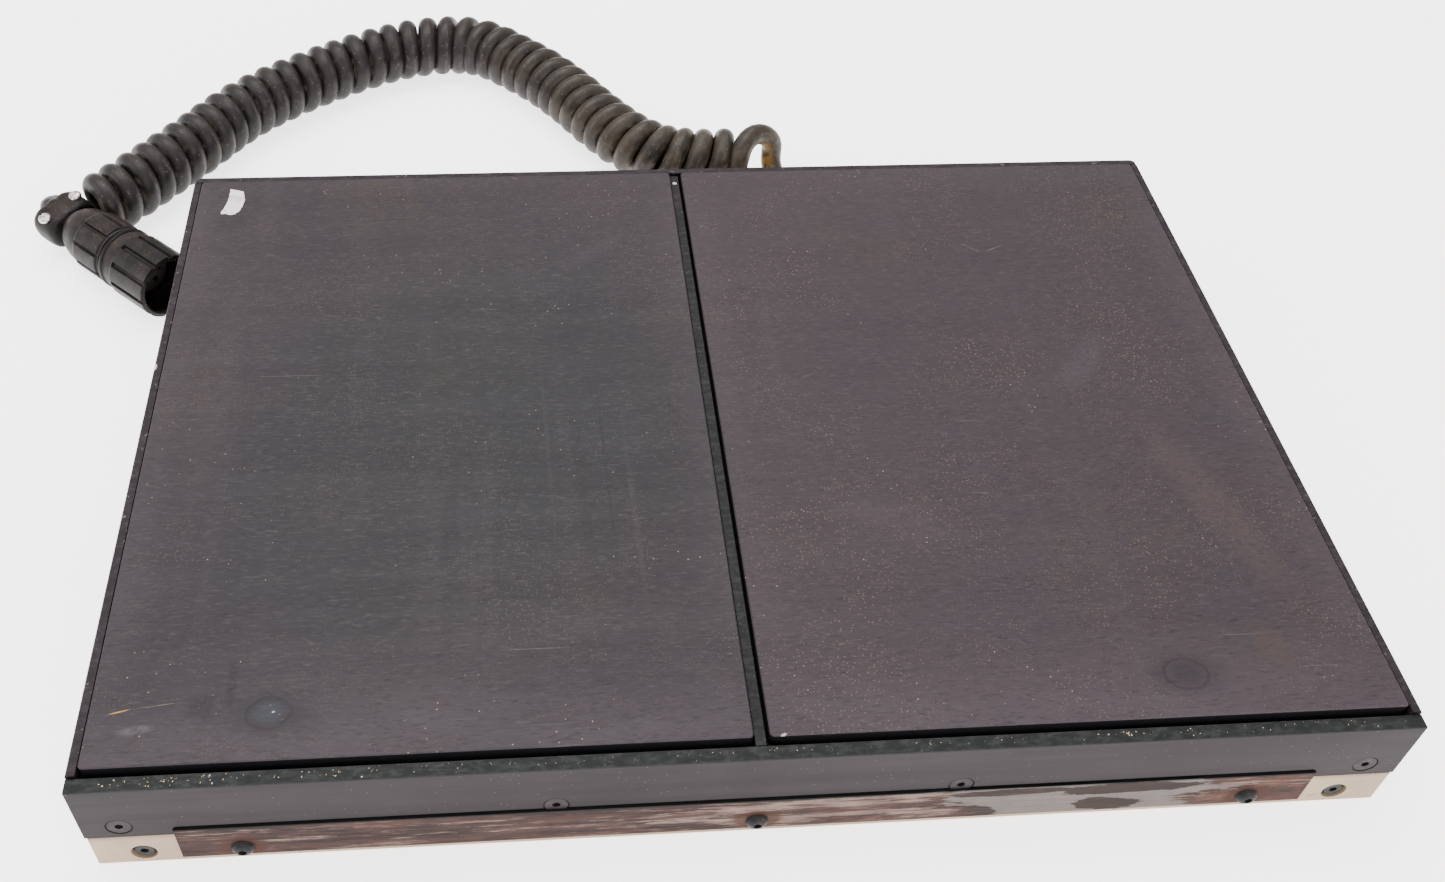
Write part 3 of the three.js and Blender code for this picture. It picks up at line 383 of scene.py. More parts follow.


def anodised_material():
    """Black anodising of the housing, with a dusty front ledge and painted shade round the screws.
    """
    shader = Shader("black_anodised")
    z = shader.axis("Z")
    up = shader.span(shader.axis("Z", shader.normal), 0.6, 0.9)
    cloud = shader.noise(14, 4, 0.6)
    base = shader.mix(shader.span(cloud, 0.3, 0.7), srgb(31, 27, 29), srgb(38, 33, 36))
    # The front ledge is greener than the rails, with a grainy dust that lies along it.
    grit = shader.noise(420, 4, 0.7, (0.5, 1, 1))
    green = shader.mix(shader.span(grit, 0.4, 0.7), srgb(28, 30, 30), srgb(47, 49, 49))
    rails = shader.mix(shader.span(grit, 0.4, 0.75), srgb(37, 32, 36), srgb(56, 49, 53))
    ledge = shader.span(shader.axis("Y"), -0.1478, -0.1482)
    rib = shader.span(shader.size(shader.axis("X")), 0.006, 0.004)
    rib = shader.times(rib, shader.span(shader.axis("Y"), 0.13, 0.12, 0, 0.8))
    base = shader.mix(up, base, shader.mix(shader.highest(ledge, rib), rails, green))
    streak = shader.noise(50, 6, 0.75, (0.1, 1, 2))
    base = shader.mix(shader.span(streak, 0.52, 0.8, 0, 0.3), base, srgb(46, 41, 43))
    speck = shader.span(shader.cells(330), 0.1, 0.05)
    base = shader.mix(shader.times(speck, 0.4), base, srgb(120, 108, 96))
    # A black line runs under the front plate's top edge.
    facing = shader.span(shader.axis("Y", shader.normal), -0.8, -0.95)
    line = shader.times(facing, shader.span(z, 0.0445, 0.0447))
    base = shader.mix(line, base, srgb(8, 8, 9))
    # A dark ring round each flat screw head is painted shade, standing for the gap round the head.
    for place in FACE_SCREW_PLACES:
        away = shader.distance_to(place, (1, 0, 1))
        off = shader.size(shader.minus(away, SCREW_SHADE_RING))
        ring = shader.times(facing, shader.span(off, 0.00042, 0.0002))
        base = shader.mix(ring, base, srgb(6, 6, 7))
    # The bright nick in the left rail's outer edge.
    nick = shader.span(shader.distance_to((-0.215, 0.0317, 0.0462), (1, 0.55, 1)), 0.0014, 0.0008)
    base = shader.mix(nick, base, srgb(190, 180, 170))
    # Bare metal shows in fine chips along the arrises.
    chips = shader.span(shader.noise(300, 3, 0.6), 0.64, 0.7)
    edge = shader.span(z, 0.0457, 0.0465)
    base = shader.mix(shader.times(chips, edge, 0.5), base, srgb(120, 112, 106))
    shader.bump(shader.noise(1800, 2, 0.6), 0.00004, 0.5)
    rough = shader.span(streak, 0.3, 0.8, 0.5, 0.66)
    return shader.finish(base, rough, 0.0, Specular_IOR_Level=0.1)


def face_screw_material():
    """Flat heads of the same dull grey as the plate round them."""
    shader = Shader("face_screws")
    cloud = shader.noise(300, 3, 0.6)
    base = shader.mix(cloud, srgb(30, 26, 28), srgb(40, 35, 37))
    dirt = shader.span(shader.noise(700, 3, 0.6), 0.55, 0.7, 0, 0.6)
    base = shader.mix(dirt, base, srgb(66, 58, 52))
    shader.bump(cloud, 0.00005, 0.4)
    rough = shader.span(cloud, 0.3, 0.7, 0.45, 0.6)
    return shader.finish(base, rough, 0.0, Specular_IOR_Level=0.12)


def nickel_material():
    """Pale warm metal of the base bars, spotted, and darker brown near the top under the housing.
    """
    shader = Shader("nickel_bar")
    cloud = shader.noise(18, 5, 0.6)
    base = shader.mix(shader.span(cloud, 0.3, 0.7), srgb(140, 118, 94), srgb(170, 148, 122))
    streak = shader.noise(70, 5, 0.7, (0.12, 1, 1.4))
    base = shader.mix(shader.span(streak, 0.52, 0.78, 0, 0.5), base, srgb(124, 104, 84))
    spots = shader.span(shader.noise(260, 3, 0.65), 0.64, 0.72)
    base = shader.mix(shader.times(spots, 0.6), base, srgb(84, 64, 50))
    # Towards its top, under the housing, the bar turns darker brown.
    under = shader.span(shader.axis("Z"), 0.0145, 0.0172)
    dirt = shader.times(under, shader.noise(120, 4, 0.6))
    base = shader.mix(dirt, base, srgb(84, 64, 52))
    shader.bump(shader.noise(500, 4, 0.6), 0.00008, 0.5)
    return shader.finish(base, shader.span(cloud, 0.3, 0.7, 0.4, 0.56), 0.1, Specular_IOR_Level=0.3)


# Brown islands in the strip's worn part: middle (X and Z) and half sizes in mm.
STRIP_ISLANDS = [
    ((118, 7.4), (17, 5.6)),
    ((128, 17), (30, 4.2)),
    ((68, 6.2), (17, 5.6)),
    ((84, 18), (24, 2.4)),
]
STRIP_SCREWS = (-0.167, 0.0, 0.167)


def strip_material():
    """Brown flaking strip, streaked lengthwise, with rust by the screws and bare pale patches."""
    shader = Shader("worn_strip")
    x = shader.axis("X")
    z = shader.axis("Z")
    grain = shader.noise(120, 7, 0.75, (0.14, 1, 1.5))
    base = shader.mix(shader.span(grain, 0.36, 0.64), srgb(28, 17, 16), srgb(62, 40, 35))
    rust = shader.span(shader.noise(60, 5, 0.65, (0.5, 1, 1), (3, 3, 1)), 0.5, 0.7, 0, 0.4)
    base = shader.mix(rust, base, srgb(74, 46, 36))
    # Pale fibres show through the brown, most of all near the middle screw.
    fibre = shader.noise(210, 7, 0.78, (0.1, 1, 1.3), (5, 2, 1))
    centre = shader.span(shader.size(shader.minus(x, 0.02)), 0.09, 0.02, 0, 0.07)
    shown = shader.span(shader.plus(fibre, centre), 0.54, 0.64)
    fine = shader.noise(420, 5, 0.75, (0.16, 1, 1.2), (1, 4, 2))
    base = shader.mix(shader.span(fine, 0.55, 0.66, 0, 0.55), base, srgb(104, 84, 76))
    base = shader.mix(shader.span(fine, 0.46, 0.36, 0, 0.7), base, srgb(24, 15, 15))
    patch = shader.span(shader.noise(30, 4, 0.6, (0.7, 1, 1), (1, 2, 7)), 0.32, 0.55, 0.25, 1)
    base = shader.mix(shader.times(shown, patch, 0.8), base, srgb(124, 106, 96))
    dark = shader.noise(90, 6, 0.72, (0.3, 1, 1), (8, 2, 1))
    base = shader.mix(shader.span(dark, 0.57, 0.68, 0, 0.75), base, srgb(28, 20, 21))
    # Worn through to pale metal right of the middle, with brown islands left.
    wander = shader.noise(70, 6, 0.7, (0.3, 1, 1.6), (2, 7, 3))
    shifted = shader.plus(x, shader.times(shader.minus(wander, 0.5), 0.09))
    zone = shader.times(shader.span(shifted, 0.066, 0.07), shader.span(shifted, 0.15, 0.146))
    islands = 0.0
    for point, sizes in STRIP_ISLANDS:
        island = shader.spot(point, sizes, inner=0.1, outer=1.3, height="Z")
        frayed = shader.plus(island, shader.times(shader.minus(wander, 0.5), 2.4))
        islands = shader.highest(islands, shader.span(frayed, 0.38, 0.46))
    bare = shader.times(zone, shader.minus(1.0, islands))
    scattered = shader.span(shader.noise(60, 5, 0.6, (0.35, 1, 1), (9, 3, 4)), 0.64, 0.67)
    bare = shader.highest(bare, shader.times(scattered, shader.span(x, -0.1, 0.05, 0, 0.8)))
    inside = shader.times(zone, islands)
    base = shader.mix(shader.times(inside, 0.85), base, srgb(33, 24, 22))
    cream = shader.mix(shader.noise(160, 4, 0.6), srgb(92, 81, 76), srgb(58, 50, 46))
    base = shader.mix(bare, base, cream)
    rusted = shader.spot((168, 12), (21, 9), inner=0.2, outer=1.2, height="Z")
    rust_spots = shader.times(rusted, shader.span(shader.noise(150, 5, 0.7), 0.46, 0.6, 0, 0.75))
    base = shader.mix(rust_spots, base, srgb(84, 50, 36))
    for screw in STRIP_SCREWS:
        away = shader.distance_to((screw, -0.1534, 0.0082), (0.75, 0, 1))
        uneven = shader.plus(away, shader.times(shader.noise(150, 4), 0.004))
        stain = shader.span(uneven, 0.0095, 0.0065, 0, 0.85)
        base = shader.mix(stain, base, srgb(54, 28, 18))
    # Its top edge and upward faces are painted black: painted shadow of the slit under the front
    # plate.
    upward = shader.span(shader.axis("Z", shader.normal), 0.5, 0.8)
    slit_shadow = shader.highest(upward, shader.span(z, 0.0199, 0.0202))
    base = shader.mix(slit_shadow, base, srgb(6, 5, 5))
    relief = shader.plus(grain, shader.times(fibre, 0.7))
    shader.bump(shader.minus(relief, shader.times(bare, 0.4)), 0.0005, 0.7)
    return shader.finish(base, shader.span(bare, 0, 1, 0.85, 0.5), 0.0, Specular_IOR_Level=0.25)


def screw_material():
    """Blackened steel with a little rust, and dust where it looks up."""
    shader = Shader("black_screws")
    cloud = shader.noise(420, 4, 0.65)
    base = shader.mix(cloud, srgb(16, 17, 19), srgb(30, 30, 33))
    rust = shader.span(shader.noise(520, 4, 0.7), 0.62, 0.7)
    base = shader.mix(shader.times(rust, 0.5), base, srgb(88, 56, 40))
    dust = shader.span(shader.axis("Z", shader.normal), 0.5, 1.0, 0, 0.2)
    base = shader.mix(dust, base, srgb(70, 65, 62))
    shader.bump(cloud, 0.00006, 0.5)
    rough = shader.span(cloud, 0.3, 0.7, 0.4, 0.58)
    return shader.finish(base, rough, 0.0, Specular_IOR_Level=0.14)


def steel_material():
    """Bright steel with fine turning lines."""
    shader = Shader("bright_steel")
    lines = shader.noise(900, 3, 0.6, (0.1, 1, 1))
    base = shader.mix(lines, srgb(176, 172, 166), srgb(214, 210, 204))
    shader.bump(lines, 0.00003, 0.4)
    return shader.finish(base, shader.span(lines, 0.3, 0.7, 0.22, 0.38), 1.0)


def plain_metal_material(name, low, high, roughness):
    shader = Shader(name)
    brushed = shader.noise(500, 4, 0.6, (0.1, 1, 1))
    base = shader.mix(brushed, srgb(*low), srgb(*high))
    shader.bump(brushed, 0.00003, 0.4)
    return shader.finish(base, shader.span(brushed, 0.3, 0.7, roughness, roughness + 0.15), 0.9)


def plastic_material(name, low, high, roughness, dust_amount):
    shader = Shader(name)
    cloud = shader.noise(140, 4, 0.6)
    base = shader.mix(cloud, srgb(*low), srgb(*high))
    up = shader.span(shader.axis("Z", shader.normal), 0.1, 0.95)
    dust = shader.times(up, shader.span(shader.noise(420, 4, 0.7), 0.48, 0.7, 0, dust_amount))
    base = shader.mix(dust, base, srgb(150, 142, 136))
    shader.bump(shader.noise(1500, 2, 0.5), 0.00005, 0.4)
    return shader.finish(base, shader.span(cloud, 0.3, 0.7, roughness, roughness + 0.14), 0.0)


def cord_material():
    """Black rubber, paler and dustier to the right, rubbed where the turns touch each other."""
    shader = Shader("cord_jacket")
    x = shader.axis("X")
    dusty = shader.span(x, -0.14, 0.03)
    cloud = shader.noise(120, 5, 0.65)
    clean = shader.mix(cloud, srgb(15, 12, 13), srgb(28, 24, 24))
    worn = shader.mix(shader.noise(260, 5, 0.7), srgb(36, 31, 26), srgb(84, 74, 60))
    amount = shader.times(dusty, shader.span(shader.noise(75, 4, 0.65), 0.36, 0.62, 0.15, 0.8))
    base = shader.mix(amount, clean, worn)
    # The tops of the turns are painted lighter: a painted highlight along the top of the cord.
    up = shader.span(shader.axis("Z", shader.normal), 0.35, 1.0, 0, 0.22)
    base = shader.mix(up, base, srgb(58, 52, 47))
    # Rub marks run round the jacket on the sides that lean on the next turns.
    around = shader.axis("Y", shader.uv)
    side = shader.size(shader.math("SINE", shader.times(around, 2 * math.pi)))
    some = shader.span(shader.noise(210, 3), 0.45, 0.6)
    touched = shader.times(shader.span(side, 0.78, 0.96), some)
    base = shader.mix(shader.times(touched, 0.3), base, srgb(112, 102, 84))
    specks = shader.span(shader.cells(420), 0.15, 0.06)
    base = shader.mix(shader.times(specks, 0.4), base, srgb(140, 128, 110))
    # The inside of the open last turn is stained tan.
    near = shader.span(shader.distance_to((0.053, 0.207, 0.016)), 0.017, 0.008)
    inward = shader.span(shader.math("COSINE", shader.times(around, 2 * math.pi)), -0.2, -0.8)
    patch = shader.span(shader.noise(260, 4, 0.6), 0.36, 0.56, 0.25, 0.95)
    stained = shader.times(near, inward, patch)
    base = shader.mix(stained, base, srgb(122, 94, 50))
    # By the plug's clamp the cord is painted darkest: painted shade in the hollow by the clamp.
    clamp_shade = shader.span(shader.distance_to((-0.291, 0.177, 0.0152)), 0.016, 0.011, 0, 0.85)
    base = shader.mix(clamp_shade, base, srgb(10, 8, 8))
    shader.bump(shader.plus(cloud, shader.noise(900, 3, 0.6)), 0.00012, 0.5)
    rough = shader.span(cloud, 0.3, 0.7, 0.36, 0.54)
    return shader.finish(base, rough, 0.0, Specular_IOR_Level=0.22)


# The plug lies on its side. Its mouth is a place on its axis, just inside the coupling ring.
PLUG_MOUTH = Vector((-0.2315, 0.12, 0.0152))
PLUG_TURN = math.radians(137.3)
PLUG_AXIS = (math.cos(PLUG_TURN), math.sin(PLUG_TURN), 0)
FLANGE_FROM_MOUTH = 25.2 * MM
FLANGE_ALONG = PLUG_MOUTH.dot(PLUG_AXIS) + FLANGE_FROM_MOUTH


def plug_material():
    """Dark moulded plastic with brown dust that lies in smears on its upper side."""
    shader = Shader("plug_plastic")
    cloud = shader.noise(140, 4, 0.6)
    base = shader.mix(cloud, srgb(9, 8, 8), srgb(17, 14, 15))
    up = shader.span(shader.axis("Z", shader.normal), -0.1, 0.9)
    smear = shader.span(shader.noise(95, 5, 0.65), 0.42, 0.66, 0.1, 0.75)
    base = shader.mix(shader.times(up, smear), base, srgb(44, 36, 34))
    olive = shader.times(up, shader.span(shader.noise(210, 4, 0.7), 0.54, 0.66, 0, 0.45))
    base = shader.mix(olive, base, srgb(64, 51, 36))
    speck = shader.span(shader.cells(520), 0.12, 0.06)
    base = shader.mix(shader.times(speck, 0.5), base, srgb(150, 122, 84))
    # The rear flange of the coupling ring is black.
    along = shader.node("ShaderNodeVectorMath", operation="DOT_PRODUCT")
    shader.put(along.inputs[0], shader.place)
    along.inputs[1].default_value = PLUG_AXIS
    band = shader.size(shader.minus(along.outputs["Value"], FLANGE_ALONG))
    base = shader.mix(shader.span(band, 0.0021, 0.0019), base, srgb(2, 2, 2))
    shader.bump(shader.noise(1100, 3, 0.6), 0.00006, 0.5)
    rough = shader.span(cloud, 0.3, 0.7, 0.4, 0.55)
    return shader.finish(base, rough, 0.0, Specular_IOR_Level=0.16)


def paper_material():
    shader = Shader("torn_paper")
    fibres = shader.noise(700, 5, 0.7)
    base = shader.mix(fibres, srgb(214, 208, 206), srgb(244, 240, 238))
    grey = shader.span(shader.noise(180, 3, 0.6), 0.5, 0.66, 0, 0.5)
    base = shader.mix(grey, base, srgb(160, 152, 152))
    shader.bump(fibres, 0.0001, 0.6)
    return shader.finish(base, 0.9)


def crumb_material():
    shader = Shader("dust_crumbs")
    tint = shader.noise(900, 2, 0.5)
    base = shader.mix(shader.span(tint, 0.35, 0.65), srgb(150, 116, 66), srgb(214, 198, 172))
    return shader.finish(base, 0.85)


MATERIALS = {
    "plate_black": plate_material(),
    "black_anodised": anodised_material(),
    "nickel_bar": nickel_material(),
    "worn_strip": strip_material(),
    "black_screws": screw_material(),
    "bright_steel": steel_material(),
    "spring_steel": plain_metal_material(
        "spring_steel", (120, 120, 122), (168, 168, 168), 0.28
    ),
    "inner_aluminium": plain_metal_material(
        "inner_aluminium", (150, 150, 152), (190, 190, 190), 0.34
    ),
    "cord_jacket": cord_material(),
    "plug_plastic": plug_material(),
    "switch_plastic": plastic_material("switch_plastic", (34, 36, 42), (48, 50, 56), 0.45, 0.1),
    "nylon": plastic_material("nylon", (214, 208, 196), (228, 222, 210), 0.5, 0.1),
}

FACE_SCREWS = face_screw_material()
PLUG_INSERT = plastic_material("plug_insert", (4, 4, 4), (8, 8, 8), 0.5, 0.05)
# These nodes look different from the others in their slot.
OWN_LOOKS = {"plug_body": PLUG_INSERT}
for name in FACE_SCREW_NODES:
    OWN_LOOKS[name] = FACE_SCREWS
for part in frame["record"]["subparts"]:
    slots = frame["nodes"][part["node"]].data.materials
    slots.clear()
    slots.append(OWN_LOOKS.get(part["node"], MATERIALS[part["material_slot"]]))

# ---------------------------------------------------------------- mesh helpers


POINTS_PER_SPAN = 24


def add_mesh(name, vertices, faces, material, smooth=True, uv=None):
    mesh = bpy.data.meshes.new(name)
    mesh.from_pydata([tuple(v) for v in vertices], [], faces)
    mesh.materials.append(material)
    if uv is not None:
        layer = mesh.uv_layers.new(name="UVMap")
        for loop in mesh.loops:
            layer.data[loop.index].uv = uv[loop.vertex_index]
    mesh.polygons.foreach_set("use_smooth", [smooth] * len(mesh.polygons))
    mesh.update()
    piece = bpy.data.objects.new(name, mesh)
    bpy.context.scene.collection.objects.link(piece)
    return piece


def grid_faces(rows, columns, closed_rows=False):
    """Quads between rings of vertices, where each row is a closed ring."""
    faces = []
    for i in range(rows if closed_rows else rows - 1):
        here, after = i * columns, (i + 1) % rows * columns
        for k in range(columns):
            following = (k + 1) % columns
            faces.append((here + k, here + following, after + following, after + k))
    return faces


def catmull_rom(points):
    """A centripetal curve through the points."""
    given = [np.array(p, float) for p in points]
    padded = [2 * given[0] - given[1], *given, 2 * given[-1] - given[-2]]
    dense = []
    for a, b, c, d in zip(padded, padded[1:], padded[2:], padded[3:]):
        t0 = 0.0
        t1 = t0 + np.linalg.norm(b - a) ** 0.5
        t2 = t1 + np.linalg.norm(c - b) ** 0.5
        t3 = t2 + np.linalg.norm(d - c) ** 0.5
        for t in np.linspace(t1, t2, POINTS_PER_SPAN, endpoint=False):
            ab = (t1 - t) / (t1 - t0) * a + (t - t0) / (t1 - t0) * b
            bc = (t2 - t) / (t2 - t1) * b + (t - t1) / (t2 - t1) * c
            cd = (t3 - t) / (t3 - t2) * c + (t - t2) / (t3 - t2) * d
            abc = (t2 - t) / (t2 - t0) * ab + (t - t0) / (t2 - t0) * bc
            bcd = (t3 - t) / (t3 - t1) * bc + (t - t1) / (t3 - t1) * cd
            dense.append((t2 - t) / (t2 - t1) * abc + (t - t1) / (t2 - t1) * bcd)
    dense.append(given[-1])
    return np.array(dense)


def face_outward(piece, crease=None):
    """Turn the faces outward, and make the edges sharp that bend by more than the crease."""
    built = bmesh.new()
    built.from_mesh(piece.data)
    bmesh.ops.recalc_face_normals(built, faces=built.faces)
    if crease is not None:
        for edge in built.edges:
            edge.smooth = len(edge.link_faces) != 2 or edge.calc_face_angle(0) < crease
    built.to_mesh(piece.data)
    built.free()


def evenly(points, step):
    """The same line with its points an even distance apart."""
    points = np.array(points)
    along = np.concatenate([[0], np.cumsum(np.linalg.norm(np.diff(points, axis=0), axis=1))])
    wanted = np.linspace(0, along[-1], max(2, round(along[-1] / step) + 1))
    return np.stack([np.interp(wanted, along, points[:, k]) for k in range(3)], axis=1)


# ---------------------------------------------------------------- cord

CORD_RADIUS = 5.0 * MM
COIL_RADIUS = 10.25 * MM  # to the middle of the wire
COIL_PITCH = 10.2 * MM


def beside_plug(along, across, height):
    """A place from the plug's mouth, along its axis and across it, in mm, and above the table."""
    x = PLUG_MOUTH.x + (along * math.cos(PLUG_TURN) + across * math.sin(PLUG_TURN)) * MM
    y = PLUG_MOUTH.y + (along * math.sin(PLUG_TURN) - across * math.cos(PLUG_TURN)) * MM
    return (x, y, height * MM)


COIL_ROUTE = [
    (-262.6, 180.7),
    (-249.5, 197.5),
    (-232, 220.8),
    (-209, 252.8),
    (-181, 277.4),
    (-147, 299.2),
    (-127, 307.6),
    (-106, 311),
    (-93, 309.2),
    (-81.5, 302.5),
    (-70, 291.8),
    (-57, 278.4),
    (-43.5, 260.2),
    (-29, 237),
    (-15, 218.5),
    (0, 207),
    (15, 203.2),
    (30, 202.6),
    (38, 202.8),
    (46, 203),
]
AXIS_STEP = 0.4 * MM
POINTS_PER_TURN = 28
COIL_CLEARANCE = 0.1 * MM  # between the coil and the table
# The last turn by the housing stands open: it is set apart, lifted and swung round.
OPEN_TURNS = 0.64
OPEN_GAP = 5 * MM
OPEN_LIFT = 4.2 * MM
OPEN_YAW = math.radians(62)
OPEN_START = math.radians(192)
LEAN = 0.16  # how far the turns by the housing lean over
TAIL_STEP = 2.4 * MM
CORD_SIDES = 20


def smooth_step(t):
    t = min(max(t, 0.0), 1.0)
    return t * t * (3 - 2 * t)


def coil_points():
    """The wire's middle line round the coil, and its outward directions, from the housing's end."""
    height = COIL_RADIUS + CORD_RADIUS + COIL_CLEARANCE
    route = [beside_plug(64, 13.6, height / MM)]
    route += [(x * MM, y * MM, height) for x, y in COIL_ROUTE]
    axis = evenly(catmull_rom(route), AXIS_STEP)
    heading = np.gradient(axis, axis=0)
    heading /= np.linalg.norm(heading, axis=1)[:, None]
    length = AXIS_STEP * (len(axis) - 1)
    whole = round((length - OPEN_GAP) / COIL_PITCH)
    # The coil ends below the wire's middle at the plug's side.
    turns = whole + (math.degrees(OPEN_START) + 90) / 360 - 1
    pitch = (length - OPEN_GAP) / turns
    places, outward = [], []
    for i in range(round(turns * POINTS_PER_TURN) + 1):
        turn = i / POINTS_PER_TURN
        opened = 1 - smooth_step(turn / OPEN_TURNS)
        at = (length - pitch * turn - OPEN_GAP * (1 - opened)) / AXIS_STEP
        low = max(0, min(int(at), len(axis) - 2))
        part = min(max(at - low, 0.0), 1.0)
        centre = axis[low] * (1 - part) + axis[low + 1] * part
        forward = heading[low] * (1 - part) + heading[low + 1] * part
        if turn < OPEN_TURNS:
            yaw = OPEN_YAW * opened
            forward = np.array((math.cos(yaw), -math.sin(yaw), 0))
        side = np.cross(forward, (0, 0, 1))
        side /= np.linalg.norm(side)
        angle = OPEN_START - 2 * math.pi * turn
        out = side * math.cos(angle) + np.array((0, 0, 1)) * math.sin(angle)
        sway = 0.25 * MM * math.sin(turn * 1.7) + 0.15 * MM * math.sin(turn * 4.1 + 1)
        lift = np.array((0, 0, OPEN_LIFT * (1 - smooth_step((turn - 0.1) / 0.75))))
        # By the housing the turns lean over, drawn towards the gland at their tops.
        lean = forward * (LEAN * out[2] * COIL_RADIUS * (1 - smooth_step((turn - 4) / 6)))
        places.append(centre + out * COIL_RADIUS + forward * sway + lift + lean)
        outward.append(out)
    return places, outward


def cord_path():
    coil, outward = coil_points()
    first = coil[0]
    body_tail = [
        (0.0600, 0.1500, 0.0270),
        (0.0600, 0.1585, 0.0270),
        (0.0600, 0.1655, 0.0269),
        (0.0600, 0.1692, 0.0254),
        (0.0600, 0.1726, 0.0222),
        (0.0599, 0.1762, 0.0181),
        (0.0595, 0.1802, 0.0138),
        (0.0588, 0.1850, 0.0098),
        (0.0578, 0.1908, 0.0070),
        (0.0566, 0.1970, 0.0062),
        (0.0555, 0.2026, 0.0080),
        (0.0547, 0.2062, 0.0118),
        tuple(first),
    ]
    last = coil[-1]
    plug_tail = [
        tuple(last),
        beside_plug(72, 13.6, 5.25),
        beside_plug(80, 13.4, 5.5),
        beside_plug(84.4, 11, 7.4),
        beside_plug(85.4, 6.4, 10.8),
        beside_plug(82.6, 1.9, 13.9),
        beside_plug(77, 0, 15.2),
        beside_plug(66, 0, 15.2),
        beside_plug(52, 0, 15.2),
    ]
    start = evenly(catmull_rom(body_tail), TAIL_STEP)[:-1]
    end = evenly(catmull_rom(plug_tail), TAIL_STEP)[1:]
    path = np.array([*start, *coil, *end])
    known = {len(start) + i: out for i, out in enumerate(outward)}
    return path, known, len(start)


def add_cord():
    path, known, first_known = cord_path()
    count, sides = len(path), CORD_SIDES
    ahead = np.gradient(path, axis=0)
    ahead /= np.linalg.norm(ahead, axis=1)[:, None]
    reference = [None] * count
    for i, out in known.items():
        reference[i] = out
    for i in range(first_known - 1, -1, -1):
        reference[i] = reference[i + 1]
    for i in range(count):
        if reference[i] is None:
            reference[i] = reference[i - 1]
        reference[i] = reference[i] - ahead[i] * np.dot(reference[i], ahead[i])
        reference[i] /= np.linalg.norm(reference[i])
    along = np.concatenate([[0], np.cumsum(np.linalg.norm(np.diff(path, axis=0), axis=1))])
    vertices, uv = [], []
    for i in range(count):
        other = np.cross(ahead[i], reference[i])
        for k in range(sides):
            angle = 2 * math.pi * k / sides
            outward = reference[i] * math.cos(angle) + other * math.sin(angle)
            vertices.append(path[i] + CORD_RADIUS * outward)
            uv.append((along[i], k / sides))
    faces = [tuple(reversed(f)) for f in grid_faces(count, sides)]
    faces.append(tuple(range(sides)))
    faces.append(tuple(reversed(range((count - 1) * sides, count * sides))))
    cord = add_mesh("curly_cord", vertices, faces, MATERIALS["cord_jacket"], uv=uv)
    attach(cord, "housing")
    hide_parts("cord_tail_body", "cord_coil", "cord_tail_plug")
    return cord


# ---------------------------------------------------------------- plug

AROUND = 240  # vertices in each ring round the plug's axis
PLUG_CREASE = math.radians(38)
PLUG_HEIGHT = PLUG_MOUTH.z / MM


def turned_piece(name, rows, material, shape, roll=0.0):
    """A closed ring round the plug's axis, from rows of (along, radius) in mm.

    shape(along, radius, angle) gives the radius at that angle."""
    vertices = []
    for along, radius in rows:
        for k in range(AROUND):
            angle = 2 * math.pi * k / AROUND
            here = shape(along, radius, angle)
            across = here * math.sin(angle + roll)
            above = here * math.cos(angle + roll)
            vertices.append(beside_plug(along, across, PLUG_HEIGHT + above))
    faces = grid_faces(len(rows), AROUND, closed_rows=True)
    piece = add_mesh(name, vertices, faces, material)
    face_outward(piece, PLUG_CREASE)
    return piece


def between_pads(angle, count, groove):
    """How far an angle lies inside the groove between two pads, from 0 on a pad to 1."""
    phase = (angle * count / (2 * math.pi)) % 1
    away = abs(phase - 0.5) * 2 * math.pi / count
    return 1 - smooth_step((away - groove * 0.45) / (groove * 0.3))


def add_coupling_ring():
    def shape(along, radius, angle):
        if radius > 14.5:
            raised = 1 - smooth_step((along - 16.6) / 1.5)
            groove = between_pads(angle, 10, 0.1) * (1 - smooth_step((along - 16) / 0.8))
            return 13.7 + 1.25 * raised * (1 - groove) - 0.25 * groove
        if radius < 13.4 and along < -3.9:
            return radius - 0.5 * max(0.0, math.cos(angle * 48))
        return radius

    padded = [(along, 15.0) for along in np.linspace(-5, 18.6, 48)]
    rows = [
        (-3.3, 12.4),
        (-4, 12.5),
        (-4.9, 12.9),
        (-5.5, 13.3),
        (-5.5, 13.45),
        (-5.5, 13.6),
        (-5.35, 14.2),
        *padded,
        (19.5, 13.7),
        (21.5, 13.7),
        (22.9, 13.72),
        (23.3, 13.9),
        (23.6, 14.35),
        (24, 14.45),
        (25, 14.45),
        (25.3, 14.3),
        (25.4, 14),
        (25.4, 11.1),
        (22.1, 11.1),
        (22.0, 12.4),
        (12, 12.4),
    ]
    ring = turned_piece("coupling_ring_detail", rows, MATERIALS["plug_plastic"], shape)
    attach(ring, "ring")
    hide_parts("coupling_ring")


def add_backshell():
    def shape(along, radius, angle):
        if radius > 14:
            raised = smooth_step((along - 27.9) / 0.8) * (1 - smooth_step((along - 43.6) / 1.6))
            groove = between_pads(angle, 9, 0.085)
            return 13.2 + 0.95 * raised * (1 - groove) - 0.3 * groove * raised
        return radius

    padded = [(along, 14.2) for along in np.linspace(27.6, 46, 40)]
    rows = [
        (27.0, 11.0),
        (27.0, 12.7),
        (27.2, 13.1),
        *padded,
        (48, 13.1),
        (50, 12.8),
        (52, 12.3),
        (54, 11.6),
        (56, 10.7),
        (57.4, 9.8),
        (58.2, 8.7),
        (58.6, 7.4),
        (60, 6.9),
        (63.5, 6.7),
        (66.5, 6.7),
        (66.5, 5.3),
        (40, 5.3),
        (36, 9.5),
        (30, 9.6),
    ]
    shell = turned_piece("backshell_detail", rows, MATERIALS["plug_plastic"], shape)
    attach(shell, "housing")
    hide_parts("backshell")


CLAMP_ROLL = math.radians(-9)
CLAMP_MIDDLE = 67.8


